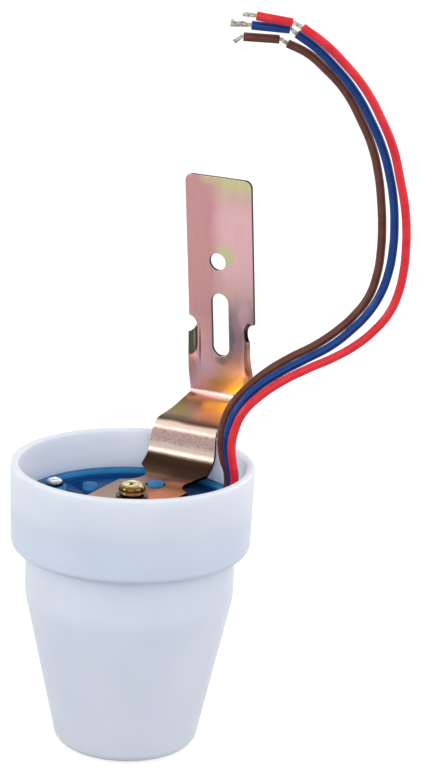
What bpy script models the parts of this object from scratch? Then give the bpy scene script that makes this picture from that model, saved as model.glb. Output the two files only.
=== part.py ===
"""Photocell switch: a pot-shaped translucent cup, mouth up, closed by a screwed lid that carries the circuit
board below it and a bent fixing bracket above it, with three stripped leads.

Metres, +Z up. The origin is the middle of the cup's closed flat end.
+Y points to the bracket's upright plate.
"""
import bpy
import bmesh
from math import asin, atan2, ceil, cos, degrees, pi, radians, sin, sqrt, tan
from mathutils import Matrix, Vector

# Room left between pieces, and how far a cutter runs past what it cuts
SEAT_GAP = 0.0003
WASHER_GAP = 0.0001
PILOT_ROOM = 0.0002
CUT_OVER = 0.001

# Cup
CUP_HEIGHT = 0.082
RIM_RADIUS = 0.034
COLLAR_WALL = 0.0024
COLLAR_STEP = 0.0047
COLLAR_HEIGHT = 0.0242
COLLAR_DRAFT = 0.0006
COLLAR_CORNER = 0.0022
LIP_ROUND = 0.0007
BODY_STRAIGHT = 0.0134
END_TAPER = 0.0095
END_CORNER = 0.0035
CUP_WALL = 0.0022
CUP_BOSS_RADIUS = 0.0030
CUP_BOSS_LENGTH = 0.0200
CUP_SEGMENTS = 52

# Lid: a shallow dish with a raised rim, bosses and posts
LID_DEPTH = 0.0111
LID_ROOM = 0.0004
LID_RIM_WIDTH = 0.0018
LID_DISH_DEPTH = 0.0022
LID_FLOOR = 0.0022
LID_SKIRT_WALL = 0.0016
LID_EDGE = 0.0003
LID_BOSS_RADIUS = 0.0034
PLATFORM_RADIUS = 0.0094
NUT_BOSS_RADIUS = 0.0058
NUT_BOSS_DROP = 0.0012
LOCATING_POST_RADIUS = 0.0023
LOCATING_POST_RISE = 0.0009
POST_TO_BEND = 0.0081
FREE_POST_RADIUS = 0.00205
FREE_POST_PLACE = (-0.0175, 0.0065)
PILLAR_RADIUS = 0.0027
LID_SEGMENTS = 44

# Lid screws, one at each side
LID_SCREW_INSET = 0.0040
LID_SCREW_LENGTH = 0.0120
LID_SCREW_RADIUS = 0.0013
LID_SCREW_HEAD_RADIUS = 0.0025
LID_SCREW_HEAD_HEIGHT = 0.0017
LID_SCREW_POINT = 0.0006

# Bracket: one strip of steel, given as its flat blank and its bends
SHEET = 0.0011
BASE_HALF_WIDTH = 0.0110
STRIP_HALF_WIDTH = 0.0107
BASE_FRONT_Y = -0.0130
BASE_CORNER = 0.0040
TOP_CORNER = 0.0022
RIM_TO_BEND = 0.0083
RISING_LEGS = (0.0080, 0.0096, 0.0237, 0.0685)
LEG_ANGLES = (0.0, 33.6, 81.5, 5.3, 97.2)
BEND_RADII = (0.0050, 0.0020, 0.0030, 0.0026)
WAIST_TO_BEND = 0.0032
WAIST_BITE_RADIUS = 0.0069
WAIST_BITE_DEPTH = 0.0041
POST_HOLE_RADIUS = 0.0028
HOLE_BELOW_TOP = 0.0256
HOLE_RADIUS = 0.0026
HOLE_SIDE_SHIFT = -0.0008
SLOT_TOP_BELOW_TOP = 0.0353
SLOT_LENGTH = 0.0194
SLOT_WIDTH = 0.0055
SLOT_SIDE_SHIFT = -0.0004
NOTCH_BELOW_TOP = 0.0457
NOTCH_RADIUS = 0.0023
# The strip narrows up its steep leg, and widens again along the run
NECK_HALF_WIDTH = 0.0100
NECK_SIDE_SHIFT = 0.0003
LIP_HALF_WIDTH = 0.0109
WIDEN_FROM = 0.0080
WIDEN_SHORT_OF_NOTCH = 0.0060
# The lips are folded up along the upright leg below the notches, and the crease under them is dished
LIP_LINE_X = 0.0074
LIP_SIDE_SHIFT = -0.0004
LIP_ANGLE = 46.0
LIP_BEND_RADIUS = 0.0012
LIP_RISE = 0.0150
CREASE_DISH = 0.0013
DISH_FROM = 0.0040
DISH_PAST_CREASE = 0.0010

# Bracket screw and what it clamps
SCREW_RADIUS = 0.0019
SCREW_LENGTH = 0.0100
SCREW_HEAD_RADIUS = 0.0038
SCREW_HEAD_HEIGHT = 0.0024
CLEARANCE_HOLE_RADIUS = 0.0023
FLAT_WASHER_RADIUS = 0.0045
FLAT_WASHER_THICK = 0.0005
SPRING_WASHER_RADIUS = 0.0035
SPRING_WASHER_THICK = 0.0008
SPRING_WASHER_SPLIT = 14.0
NUT_ACROSS_FLATS = 0.0070
NUT_THICK = 0.0032

# Circuit board and its screws
BOARD_ROOM = 0.0011
BOARD_THICK = 0.0016
BOARD_SCREW_RADIUS = 0.0010
BOARD_SCREW_LENGTH = 0.0060
BOARD_SCREW_HEAD_RADIUS = 0.0024
BOARD_SCREW_HEAD_HEIGHT = 0.0014

# Components below the board
RELAY_SIZE = (0.0150, 0.0190, 0.0153)
FILM_SIZE = (0.0180, 0.0075, 0.0130)
BOX_EDGE = 0.0005
CAN_RADIUS = 0.0040
CAN_HEIGHT = 0.0120
CAN_CRIMP = 0.0004
CELL_RADIUS = 0.0025
CELL_THICK = 0.0020
CELL_DROP = 0.0100
CELL_STEM_RADIUS = 0.0010
CELL_EDGE = 0.0001
TRANSISTOR_RADIUS = 0.0023
TRANSISTOR_FLAT = 0.0013
TRANSISTOR_HEIGHT = 0.0065
# Axial parts: body radius, body length, wire radius and drop below the board
DIODE_SIZES = (0.00135, 0.0052, 0.0004, 0.0022)
ZENER_SIZES = (0.0009, 0.0040, 0.00025, 0.0018)
SMALL_RESISTOR_SIZES = (0.0012, 0.0064, 0.0003, 0.0020)
LARGE_RESISTOR_SIZES = (0.0016, 0.0090, 0.00035, 0.0024)

# Places on the board as (x, y). The rest follow from these and this much room between parts
PART_GAP = 0.0006
RELAY_PLACE = (0.0084, -0.0040)
FILM_Y = -0.0080
CAN_PLACE = (-0.0122, 0.0020)
TRANSISTOR_Y = -0.0014
ZENER_Y = 0.0015

# Leads: three parallel upright planes, turned from the X axis, hold one lead each
LEAD_RADIUS = 0.0012
STRAND_RADIUS = 0.00055
SLUG_BORE_RADIUS = 0.0008
SLUG_INSET = 0.0004
LEAD_HOLE_WALL = 0.0008
LEAD_PLANE_ANGLE = 29.7
LEAD_PLANE_STEP = 0.00275
# Place of each lead's hole, measured in the same way as its route
LEAD_ROOTS = {"brown": -0.0050, "blue": -0.0043, "red": -0.0038}
LEAD_ROWS = {"brown": 1, "blue": 0, "red": -1}
# Route of each lead above the lid: distance out from the cup's inner rim along its plane, and height
LEAD_ROUTES = {
    "brown": (
        (-0.0051, 0.0790), (-0.0063, 0.0825), (-0.0071, 0.0870), (-0.0069, 0.0922), (-0.0051, 0.0978),
        (-0.0012, 0.1030), (0.0044, 0.1083), (0.0106, 0.1125), (0.0177, 0.1165), (0.0236, 0.1209),
        (0.0281, 0.1254), (0.0316, 0.1305), (0.0336, 0.1370), (0.0343, 0.1440), (0.0342, 0.1510),
        (0.0336, 0.1575), (0.0326, 0.1640), (0.0305, 0.1718), (0.0269, 0.1795), (0.0222, 0.1872),
        (0.0163, 0.1932), (0.0118, 0.1968), (0.0063, 0.1993),
    ),
    "blue": (
        (-0.0042, 0.0795), (-0.0050, 0.0830), (-0.0056, 0.0880), (-0.0051, 0.0935), (-0.0028, 0.0988),
        (0.0016, 0.1042), (0.0076, 0.1087), (0.0147, 0.1129), (0.0218, 0.1171), (0.0272, 0.1218),
        (0.0313, 0.1264), (0.0344, 0.1317), (0.0364, 0.1380), (0.0373, 0.1450), (0.0373, 0.1515),
        (0.0367, 0.1580), (0.0355, 0.1640), (0.0331, 0.1719), (0.0293, 0.1799), (0.0244, 0.1878),
        (0.0182, 0.1947), (0.0137, 0.1988), (0.0085, 0.2023),
    ),
    "red": (
        (-0.0034, 0.0800), (-0.0040, 0.0835), (-0.0045, 0.0880), (-0.0038, 0.0930), (-0.0016, 0.0982),
        (0.0028, 0.1030), (0.0086, 0.1073), (0.0154, 0.1111), (0.0226, 0.1146), (0.0286, 0.1184),
        (0.0334, 0.1228), (0.0370, 0.1276), (0.0391, 0.1330), (0.0403, 0.1400), (0.0405, 0.1460),
        (0.0402, 0.1525), (0.0394, 0.1580), (0.0379, 0.1644), (0.0357, 0.1725), (0.0320, 0.1806),
        (0.0272, 0.1886), (0.0214, 0.1952), (0.0156, 0.2005), (0.0098, 0.2044),
    ),
}
# The insulation slug pulled along each bared end, from its near end to its far end, and the strands' tip
SLUG_ENDS = {
    "brown": ((0.0045, 0.2003), (-0.0059, 0.2007)),
    "blue": ((0.0070, 0.2034), (-0.0040, 0.2042)),
    "red": ((0.0075, 0.2055), (-0.0029, 0.2071)),
}
STRAND_TIPS = {"brown": (-0.0080, 0.1992), "blue": (-0.0091, 0.2047), "red": (-0.0061, 0.2074)}

# Radii and heights that follow from the sizes above
RIM_INNER_RADIUS = RIM_RADIUS - COLLAR_WALL
BODY_RADIUS = RIM_RADIUS - COLLAR_STEP
END_RADIUS = BODY_RADIUS - END_TAPER
LID_RADIUS = RIM_INNER_RADIUS - LID_ROOM
FIRST_BEND_Y = sqrt(RIM_INNER_RADIUS**2 - STRIP_HALF_WIDTH**2) - RIM_TO_BEND
LEG_LENGTHS = (FIRST_BEND_Y - BASE_FRONT_Y, *RISING_LEGS)
WAIST_Y = FIRST_BEND_Y - WAIST_TO_BEND
LOCATING_POST_Y = FIRST_BEND_Y - POST_TO_BEND
LID_SCREW_X = BODY_RADIUS - LID_SCREW_INSET
LID_SIDES = (("left", -LID_SCREW_X), ("right", LID_SCREW_X))
BOARD_RADIUS = LID_RADIUS - LID_SKIRT_WALL - BOARD_ROOM
LEAD_HOLE_RADIUS = LEAD_RADIUS + SEAT_GAP
LID_TOP = CUP_HEIGHT - LID_DEPTH
LID_DISH = LID_TOP - LID_DISH_DEPTH
LID_UNDER = LID_DISH - LID_FLOOR
NUT_BOSS_UNDER = LID_UNDER - NUT_BOSS_DROP
NUT_SEAT = NUT_BOSS_UNDER + NUT_THICK + SEAT_GAP
COLLAR_UNDER = CUP_HEIGHT - COLLAR_HEIGHT
LEDGE = COLLAR_UNDER + CUP_WALL
BRACKET_UNDER = LID_TOP + WASHER_GAP
BRACKET_TOP = BRACKET_UNDER + SHEET
FLAT_WASHER_UNDER = BRACKET_TOP + WASHER_GAP
SPRING_WASHER_UNDER = FLAT_WASHER_UNDER + FLAT_WASHER_THICK + WASHER_GAP
SCREW_HEAD_UNDER = SPRING_WASHER_UNDER + SPRING_WASHER_THICK + 2 * WASHER_GAP
BOARD_UNDER = LEDGE + SEAT_GAP
BOARD_TOP = BOARD_UNDER + BOARD_THICK
HUNG_FROM = BOARD_UNDER - SEAT_GAP

# Component places that follow from their neighbours
DIODE_REACH = DIODE_SIZES[1] / 2 + (2 + 2.5 + 1) * DIODE_SIZES[2]
RELAY_LEFT = RELAY_PLACE[0] - RELAY_SIZE[0] / 2
RELAY_FRONT = RELAY_PLACE[1] - RELAY_SIZE[1] / 2
RELAY_BACK = RELAY_PLACE[1] + RELAY_SIZE[1] / 2
PILLAR_Y = (BODY_RADIUS - CUP_WALL - RELAY_FRONT) / 2
BOARD_ENDS = (("front", -PILLAR_Y), ("back", PILLAR_Y))
FILM_PLACE = (RELAY_LEFT - PART_GAP - FILM_SIZE[0] / 2, FILM_Y)
SENSING_Y = FILM_Y - FILM_SIZE[1] / 2 - PART_GAP - SMALL_RESISTOR_SIZES[0]
CELL_PLACE = (RELAY_PLACE[0], RELAY_FRONT - PART_GAP - CELL_RADIUS)
TRANSISTOR_X = CAN_PLACE[0] + CAN_RADIUS + PART_GAP + TRANSISTOR_RADIUS
TRANSISTOR_STEP = 2 * TRANSISTOR_RADIUS + PART_GAP
ZENER_X = TRANSISTOR_X + TRANSISTOR_RADIUS + PART_GAP + ZENER_SIZES[0]
LEFT_BACK = max(CAN_PLACE[1] + CAN_RADIUS, TRANSISTOR_Y + TRANSISTOR_STEP + TRANSISTOR_RADIUS)
BLEED_PLACE = (FILM_PLACE[0], LEFT_BACK + PART_GAP + SMALL_RESISTOR_SIZES[0])
SURGE_PLACE = (RELAY_PLACE[0], RELAY_BACK + PART_GAP + LARGE_RESISTOR_SIZES[0])
ROWS_FROM = max(BLEED_PLACE[1] + SMALL_RESISTOR_SIZES[0], SURGE_PLACE[1] + LARGE_RESISTOR_SIZES[0])
RECTIFIER_X = BOARD_SCREW_HEAD_RADIUS + PART_GAP + DIODE_REACH
ROW_STEP = PART_GAP + 2 * DIODE_SIZES[0]
RECTIFIER_ROWS = [ROWS_FROM + PART_GAP + DIODE_SIZES[0] + row * ROW_STEP for row in (0, 1)]


def clear_scene():
    for item in list(bpy.data.objects):
        bpy.data.objects.remove(item, do_unlink=True)


def material(name, colour, roughness, metallic=0.0):
    finish = bpy.data.materials.new(name)
    finish.use_nodes = True
    shader = finish.node_tree.nodes["Principled BSDF"]
    shader.inputs["Base Color"].default_value = (*colour, 1.0)
    shader.inputs["Roughness"].default_value = roughness
    shader.inputs["Metallic"].default_value = metallic
    finish.diffuse_color = (*colour, 1.0)
    return finish


def add_object(name, mesh_or_curve, finish=None):
    item = bpy.data.objects.new(name, mesh_or_curve)
    bpy.context.collection.objects.link(item)
    if finish:
        item.data.materials.append(finish)
    return item


def object_from(name, bm, finish=None):
    """Close a bmesh off as an object, faces outward, smooth where the turn is gentle."""
    bmesh.ops.remove_doubles(bm, verts=bm.verts, dist=1e-7)
    bmesh.ops.recalc_face_normals(bm, faces=bm.faces)
    mesh = bpy.data.meshes.new(name)
    bm.to_mesh(mesh)
    bm.free()
    mesh.shade_smooth()
    mesh.set_sharp_from_angle(angle=radians(35))
    return add_object(name, mesh, finish)


def corner(centre, radius, start, end, steps):
    """Points of an arc in the profile plane, angles in degrees."""
    angles = (radians(start + (end - start) * step / steps) for step in range(steps + 1))
    return [(centre[0] + radius * cos(a), centre[1] + radius * sin(a)) for a in angles]


def turned_mesh(profile, segments, closed=False):
    """A bmesh turned about Z from (radius, height) points, which end on the axis or form a closed loop."""
    bm = bmesh.new()
    verts = [bm.verts.new((radius, 0.0, height)) for radius, height in profile]
    pairs = zip(verts, verts[1:] + verts[:1]) if closed else zip(verts, verts[1:])
    edges = [bm.edges.new(pair) for pair in pairs]
    bmesh.ops.spin(
        bm, geom=verts + edges, cent=(0, 0, 0), axis=(0, 0, 1), angle=2 * pi, steps=segments, use_merge=True
    )
    return bm


def turned(name, profile, segments, finish=None, closed=False, place=(0, 0, 0)):
    item = object_from(name, turned_mesh(profile, segments, closed), finish)
    item.location = place
    return item


def rod(name, radius, low, high, segments=20, x=0.0, y=0.0, finish=None):
    """A plain upright cylinder from one height to another."""
    profile = [(0, low), (radius, low), (radius, high), (0, high)]
    return turned(name, profile, segments, finish, place=(x, y, 0))


def prism(name, outline, low, high, finish=None, place=(0, 0, 0)):
    """A flat outline in X and Y raised from one height to another."""
    bm = bmesh.new()
    face = bm.faces.new([bm.verts.new((x, y, low)) for x, y in outline])
    raised = bmesh.ops.extrude_face_region(bm, geom=[face])["geom"]
    top = [v for v in raised if isinstance(v, bmesh.types.BMVert)]
    bmesh.ops.translate(bm, vec=(0, 0, high - low), verts=top)
    item = object_from(name, bm, finish)
    item.location = place
    return item


def soft_box(name, size, place, edge, finish):
    """A box with rounded edges, placed by its centre."""
    bm = bmesh.new()
    bmesh.ops.create_cube(bm, size=1.0)
    bmesh.ops.scale(bm, vec=size, verts=bm.verts)
    bmesh.ops.bevel(
        bm, geom=list(bm.edges), offset=edge, segments=2, affect='EDGES', profile=0.5, material=-1,
        clamp_overlap=True,
    )
    item = object_from(name, bm, finish)
    item.location = place
    return item


def combine(target, tool, operation):
    """Join a tool to a piece or cut it out, as a live Boolean."""
    change = target.modifiers.new(tool.name, 'BOOLEAN')
    change.operation = operation
    change.object = tool
    tool.hide_render = True
    tool.display_type = 'WIRE'


def screw_profile(head_radius, head_height, shank_radius, length, point=0.0):
    """A pan-head screw from tip to crown, with the underside of its head at height 0."""
    tip = [(0, -length), (shank_radius - point, -length)]
    if point:
        tip.append((shank_radius, -length + 2 * point))
    crown = [(head_radius, 0), (head_radius, 0.35 * head_height)]
    crown += [
        (head_radius * cos(radians(a)), head_height * (0.35 + 0.65 * sin(radians(a)))) for a in (28, 52, 72)
    ]
    return tip + [(shank_radius, 0)] + crown + [(0, head_height)]


def cross_recess(name, head_radius, head_height, top):
    """The four-armed drive recess, as a cutter that narrows downward."""
    arm, width = 0.56 * head_radius, 0.17 * head_radius
    outline = []
    for quarter in range(4):
        turn = Matrix.Rotation(quarter * pi / 2, 2)
        outline += [turn @ Vector(p) for p in ((arm, -width), (arm, width), (width, width))]
    bm = bmesh.new()
    face = bm.faces.new([bm.verts.new((p.x, p.y, top + CUT_OVER)) for p in outline])
    lowered = bmesh.ops.extrude_face_region(bm, geom=[face])["geom"]
    low = [v for v in lowered if isinstance(v, bmesh.types.BMVert)]
    bmesh.ops.translate(bm, vec=(0, 0, -CUT_OVER - 0.62 * head_height), verts=low)
    bmesh.ops.scale(bm, vec=(0.7, 0.7, 1.0), verts=low)
    return object_from(name, bm)


def pan_screw(name, head_radius, head_height, shank_radius, length, finish, place, flip=False, point=0.0):
    screw = turned(name, screw_profile(head_radius, head_height, shank_radius, length, point), 24, finish)
    recess = cross_recess(name + "_recess", head_radius, head_height, head_height)
    combine(screw, recess, 'DIFFERENCE')
    for item in (screw, recess):
        item.location = place
        item.rotation_euler = (pi if flip else 0.0, 0.0, radians(20))
    return screw


def cup_profile():
    """Half section of the cup: closed end, taper, straight neck, stepped collar and rounded lip."""
    neck_low = COLLAR_UNDER - BODY_STRAIGHT
    taper = atan2(BODY_RADIUS - END_RADIUS, neck_low)
    corner_inset = END_CORNER * tan((pi / 2 - taper) / 2)
    end_turn = degrees(pi / 2 - taper)
    outer = corner((END_RADIUS - corner_inset, END_CORNER), END_CORNER, -90, end_turn - 90, 5)
    outer.append((BODY_RADIUS, neck_low))
    outer.append((BODY_RADIUS, COLLAR_UNDER))
    collar_corner_radius = RIM_RADIUS - COLLAR_DRAFT - COLLAR_CORNER
    outer += corner((collar_corner_radius, COLLAR_UNDER + COLLAR_CORNER), COLLAR_CORNER, -90, 0, 4)
    outer += corner((RIM_RADIUS - LIP_ROUND, CUP_HEIGHT - LIP_ROUND), LIP_ROUND, 0, 90, 3)
    inner = corner((RIM_INNER_RADIUS + LIP_ROUND, CUP_HEIGHT - LIP_ROUND), LIP_ROUND, 90, 180, 3)
    inner.append((RIM_INNER_RADIUS, LEDGE))
    inner.append((BODY_RADIUS - CUP_WALL, LEDGE))
    inner.append((BODY_RADIUS - CUP_WALL, neck_low))
    end_inner = END_RADIUS - CUP_WALL / cos(taper) + CUP_WALL * tan(taper)
    inner_corner = END_CORNER - 0.5 * CUP_WALL
    inner_inset = inner_corner * tan((pi / 2 - taper) / 2)
    inner += corner((end_inner - inner_inset, CUP_WALL + inner_corner), inner_corner, end_turn - 90, -90, 3)
    return [(0, 0)] + outer + inner + [(0, CUP_WALL)]


def make_cup(finish):
    cup = turned("cup", cup_profile(), CUP_SEGMENTS, finish)
    boss_top = LID_UNDER - SEAT_GAP
    boss_low = boss_top - CUP_BOSS_LENGTH
    pilot = LID_SCREW_RADIUS + PILOT_ROOM
    for side, x in LID_SIDES:
        profile = [(0, boss_low - CUP_BOSS_RADIUS), (CUP_BOSS_RADIUS, boss_low)]
        profile += [(CUP_BOSS_RADIUS, boss_top), (0, boss_top)]
        combine(cup, turned("cup_boss_" + side, profile, 16, place=(x, 0, 0)), 'UNION')
    for side, x in LID_SIDES:
        depth = boss_top - LID_SCREW_LENGTH - SEAT_GAP
        combine(cup, rod("cup_pilot_" + side, pilot, depth, boss_top + CUT_OVER, 12, x), 'DIFFERENCE')
    return cup


def lid_profile():
    """Closed half section of the lid, from its centre hole out to its skirt and back underneath."""
    hole = CLEARANCE_HOLE_RADIUS
    edge = LID_EDGE
    rim_inner = LID_RADIUS - LID_RIM_WIDTH
    skirt_low = LEDGE + SEAT_GAP
    skirt_inner = LID_RADIUS - LID_SKIRT_WALL
    return [
        (hole, LID_TOP),
        (PLATFORM_RADIUS - edge, LID_TOP),
        (PLATFORM_RADIUS, LID_TOP - edge),
        (PLATFORM_RADIUS, LID_DISH),
        (rim_inner, LID_DISH),
        (rim_inner, LID_TOP - edge),
        (rim_inner + edge, LID_TOP),
        (LID_RADIUS - edge, LID_TOP),
        (LID_RADIUS, LID_TOP - edge),
        (LID_RADIUS, skirt_low),
        (skirt_inner, skirt_low),
        (skirt_inner, LID_UNDER),
        (NUT_BOSS_RADIUS, LID_UNDER),
        (NUT_BOSS_RADIUS, NUT_BOSS_UNDER),
        (hole, NUT_BOSS_UNDER),
    ]


def lead_place(colour, out, height):
    """A point of a lead from its height and its distance along its plane, out from the cup's inner rim."""
    angle = radians(LEAD_PLANE_ANGLE)
    out += RIM_INNER_RADIUS
    back = LEAD_ROWS[colour] * LEAD_PLANE_STEP
    return Vector((out * cos(angle) - back * sin(angle), out * sin(angle) + back * cos(angle), height))


def hexagon(across_flats):
    reach = across_flats / 2 / cos(pi / 6)
    return [(reach * cos(k * pi / 3), reach * sin(k * pi / 3)) for k in range(6)]


def make_lid(finish):
    lid = turned("lid", lid_profile(), LID_SEGMENTS, finish, closed=True)
    rooted = LID_DISH - 0.4 * LID_FLOOR
    added = []
    for side, x in LID_SIDES:
        added.append(rod("lid_boss_" + side, LID_BOSS_RADIUS, rooted, LID_TOP, 20, x))
    post_top = BRACKET_TOP + LOCATING_POST_RISE
    added.append(rod("locating_post", LOCATING_POST_RADIUS, rooted, post_top, 20, 0.0, LOCATING_POST_Y))
    added.append(rod("free_post", FREE_POST_RADIUS, rooted, LID_TOP, 20, *FREE_POST_PLACE))
    for colour, root in LEAD_ROOTS.items():
        spot = lead_place(colour, root, 0)
        boss_radius = LEAD_HOLE_RADIUS + LEAD_HOLE_WALL
        added.append(rod("outlet_boss_" + colour, boss_radius, rooted, LID_TOP, 16, spot.x, spot.y))
    for end, y in BOARD_ENDS:
        pillar_low = BOARD_TOP + SEAT_GAP
        added.append(rod("board_pillar_" + end, PILLAR_RADIUS, pillar_low, LID_UNDER + CUT_OVER, 16, 0.0, y))
    for tool in added:
        combine(lid, tool, 'UNION')
    low, high = LID_UNDER - CUT_OVER, LID_TOP + CUT_OVER
    pocket = hexagon(NUT_ACROSS_FLATS + 2 * SEAT_GAP)
    removed = [prism("nut_pocket", pocket, NUT_BOSS_UNDER - CUT_OVER, NUT_SEAT)]
    for side, x in LID_SIDES:
        removed.append(rod("lid_screw_hole_" + side, LID_SCREW_RADIUS + SEAT_GAP, low, high, 16, x))
    for colour, root in LEAD_ROOTS.items():
        spot = lead_place(colour, root, 0)
        removed.append(rod("lead_hole_" + colour, LEAD_HOLE_RADIUS, low, high, 14, spot.x, spot.y))
    for end, y in BOARD_ENDS:
        pilot, pilot_top = BOARD_SCREW_RADIUS + PILOT_ROOM, BOARD_TOP + BOARD_SCREW_LENGTH
        removed.append(rod("pillar_pilot_" + end, pilot, BOARD_TOP - CUT_OVER, pilot_top, 12, 0.0, y))
    for tool in removed:
        combine(lid, tool, 'DIFFERENCE')
    return lid


class BracketPath:
    """The strip's middle surface seen from the side: straight legs joined by bends of given radius."""

    def __init__(self):
        turns = [radians(b - a) for a, b in zip(LEG_ANGLES, LEG_ANGLES[1:])]
        insets = [radius * tan(abs(turn) / 2) for radius, turn in zip(BEND_RADII, turns)]
        point = Vector((BASE_FRONT_Y, BRACKET_UNDER + SHEET / 2))
        along = 0.0
        self.pieces = []
        for index, (length, angle) in enumerate(zip(LEG_LENGTHS, LEG_ANGLES)):
            heading = radians(angle)
            straight = length
            if index > 0:
                straight -= insets[index - 1]
            if index < len(turns):
                straight -= insets[index]
            self.pieces.append((along, straight, point.copy(), heading, 0.0))
            along += straight
            point += straight * Vector((cos(heading), sin(heading)))
            if index < len(turns):
                radius, turn = BEND_RADII[index], turns[index]
                curve = turn / abs(turn) / radius
                self.pieces.append((along, radius * abs(turn), point.copy(), heading, curve))
                along += radius * abs(turn)
                side = Vector((-sin(heading), cos(heading))) / curve
                turned_side = Vector((-sin(heading + turn), cos(heading + turn))) / curve
                point += side - turned_side
        self.length = along

    def at(self, along):
        """Point and heading of the middle surface at a developed length."""
        for start, length, point, heading, curve in reversed(self.pieces):
            if along >= start or start == 0.0:
                break
        run = along - start
        if curve == 0.0:
            return point + run * Vector((cos(heading), sin(heading))), heading
        bent = heading + run * curve
        centre = point + Vector((-sin(heading), cos(heading))) / curve
        return centre - Vector((-sin(bent), cos(bent))) / curve, bent

    def stations(self):
        """Developed lengths at which the blank is scored so that it can follow the bends."""
        marks = []
        for start, length, _, _, curve in self.pieces:
            count = max(1, ceil(degrees(length * abs(curve)) / 15)) if curve else 1
            marks += [start + length * step / count for step in range(count)]
        return marks


def smooth_step(value, low, high):
    share = min(1.0, max(0.0, (value - low) / (high - low)))
    return share * share * (3 - 2 * share)


def edge_place(path, along, side):
    """Where the blank's edge on one side, 1 or -1, lies between the waist and the notches."""
    steep, run = path.pieces[4][0], path.pieces[6][0]
    notch = path.length - NOTCH_BELOW_TOP
    narrowing = smooth_step(along, steep, run)
    widening = smooth_step(along, run + WIDEN_FROM, notch - WIDEN_SHORT_OF_NOTCH)
    width = STRIP_HALF_WIDTH + narrowing * (NECK_HALF_WIDTH - STRIP_HALF_WIDTH)
    width += widening * (LIP_HALF_WIDTH - NECK_HALF_WIDTH)
    return side * width + NECK_SIDE_SHIFT * narrowing * (1 - widening)


def blank_side(path, side):
    """One side of the flat blank's outline, from front to top."""
    outline = corner((BASE_HALF_WIDTH - BASE_CORNER, BASE_CORNER), BASE_CORNER, -90, 0, 4)
    waist = WAIST_Y - BASE_FRONT_Y
    centre_x = BASE_HALF_WIDTH - WAIST_BITE_DEPTH + WAIST_BITE_RADIUS
    low = asin(sqrt(1 - ((centre_x - BASE_HALF_WIDTH) / WAIST_BITE_RADIUS) ** 2))
    high = asin(sqrt(1 - ((centre_x - STRIP_HALF_WIDTH) / WAIST_BITE_RADIUS) ** 2))
    outline += corner((centre_x, waist), WAIST_BITE_RADIUS, 180 + degrees(low), 180 - degrees(high), 8)
    notch = path.length - NOTCH_BELOW_TOP
    start, end = path.pieces[4][0], notch - NOTCH_RADIUS
    marks = [start + (end - start) * share / 10 for share in range(11)]
    outline += [(side * edge_place(path, along, side), along) for along in marks]
    outline += corner((STRIP_HALF_WIDTH, notch), NOTCH_RADIUS, 270, 90, 8)[1:]
    outline += corner((STRIP_HALF_WIDTH - TOP_CORNER, path.length - TOP_CORNER), TOP_CORNER, 0, 90, 4)
    return [(side * x, along) for x, along in outline]


def slot_outline(centre_x, low, high, width):
    radius = width / 2
    upper = corner((centre_x, high - radius), radius, 0, 180, 7)
    return upper + corner((centre_x, low + radius), radius, 180, 360, 7)


def lip_angle(path, along):
    """How far the side lips are turned up, in radians, at a developed length."""
    upright = path.pieces[8][0]
    notch = path.length - NOTCH_BELOW_TOP
    rise = smooth_step(along, upright, upright + LIP_RISE)
    fall = 1 - smooth_step(along, notch - 0.5 * NOTCH_RADIUS, notch + 0.9 * NOTCH_RADIUS)
    return radians(LIP_ANGLE) * rise * fall


def dish(path, along):
    """How far the strip's edges stand up beside its middle, at a developed length."""
    run, crease, upright = path.pieces[6][0], path.pieces[7][0], path.pieces[8][0]
    rise = smooth_step(along, run + DISH_FROM, crease + DISH_PAST_CREASE)
    return CREASE_DISH * rise * (1 - smooth_step(along, upright, path.length - NOTCH_BELOW_TOP))


def score(bm, along=None, side=None, within=None):
    """Cut the flat blank across at a developed length, or along it at a place to the side."""
    geom = bm.verts[:] + bm.edges[:] + bm.faces[:]
    if within:
        faces = [f for f in bm.faces if any(within[0] < v.co.y < within[1] for v in f.verts)]
        geom = faces + list({e for f in faces for e in f.edges}) + list({v for f in faces for v in f.verts})
    place, normal = ((0, along, 0), (0, 1, 0)) if side is None else ((side, 0, 0), (1, 0, 0))
    bmesh.ops.bisect_plane(bm, geom=geom, dist=1e-7, plane_co=place, plane_no=normal)


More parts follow.
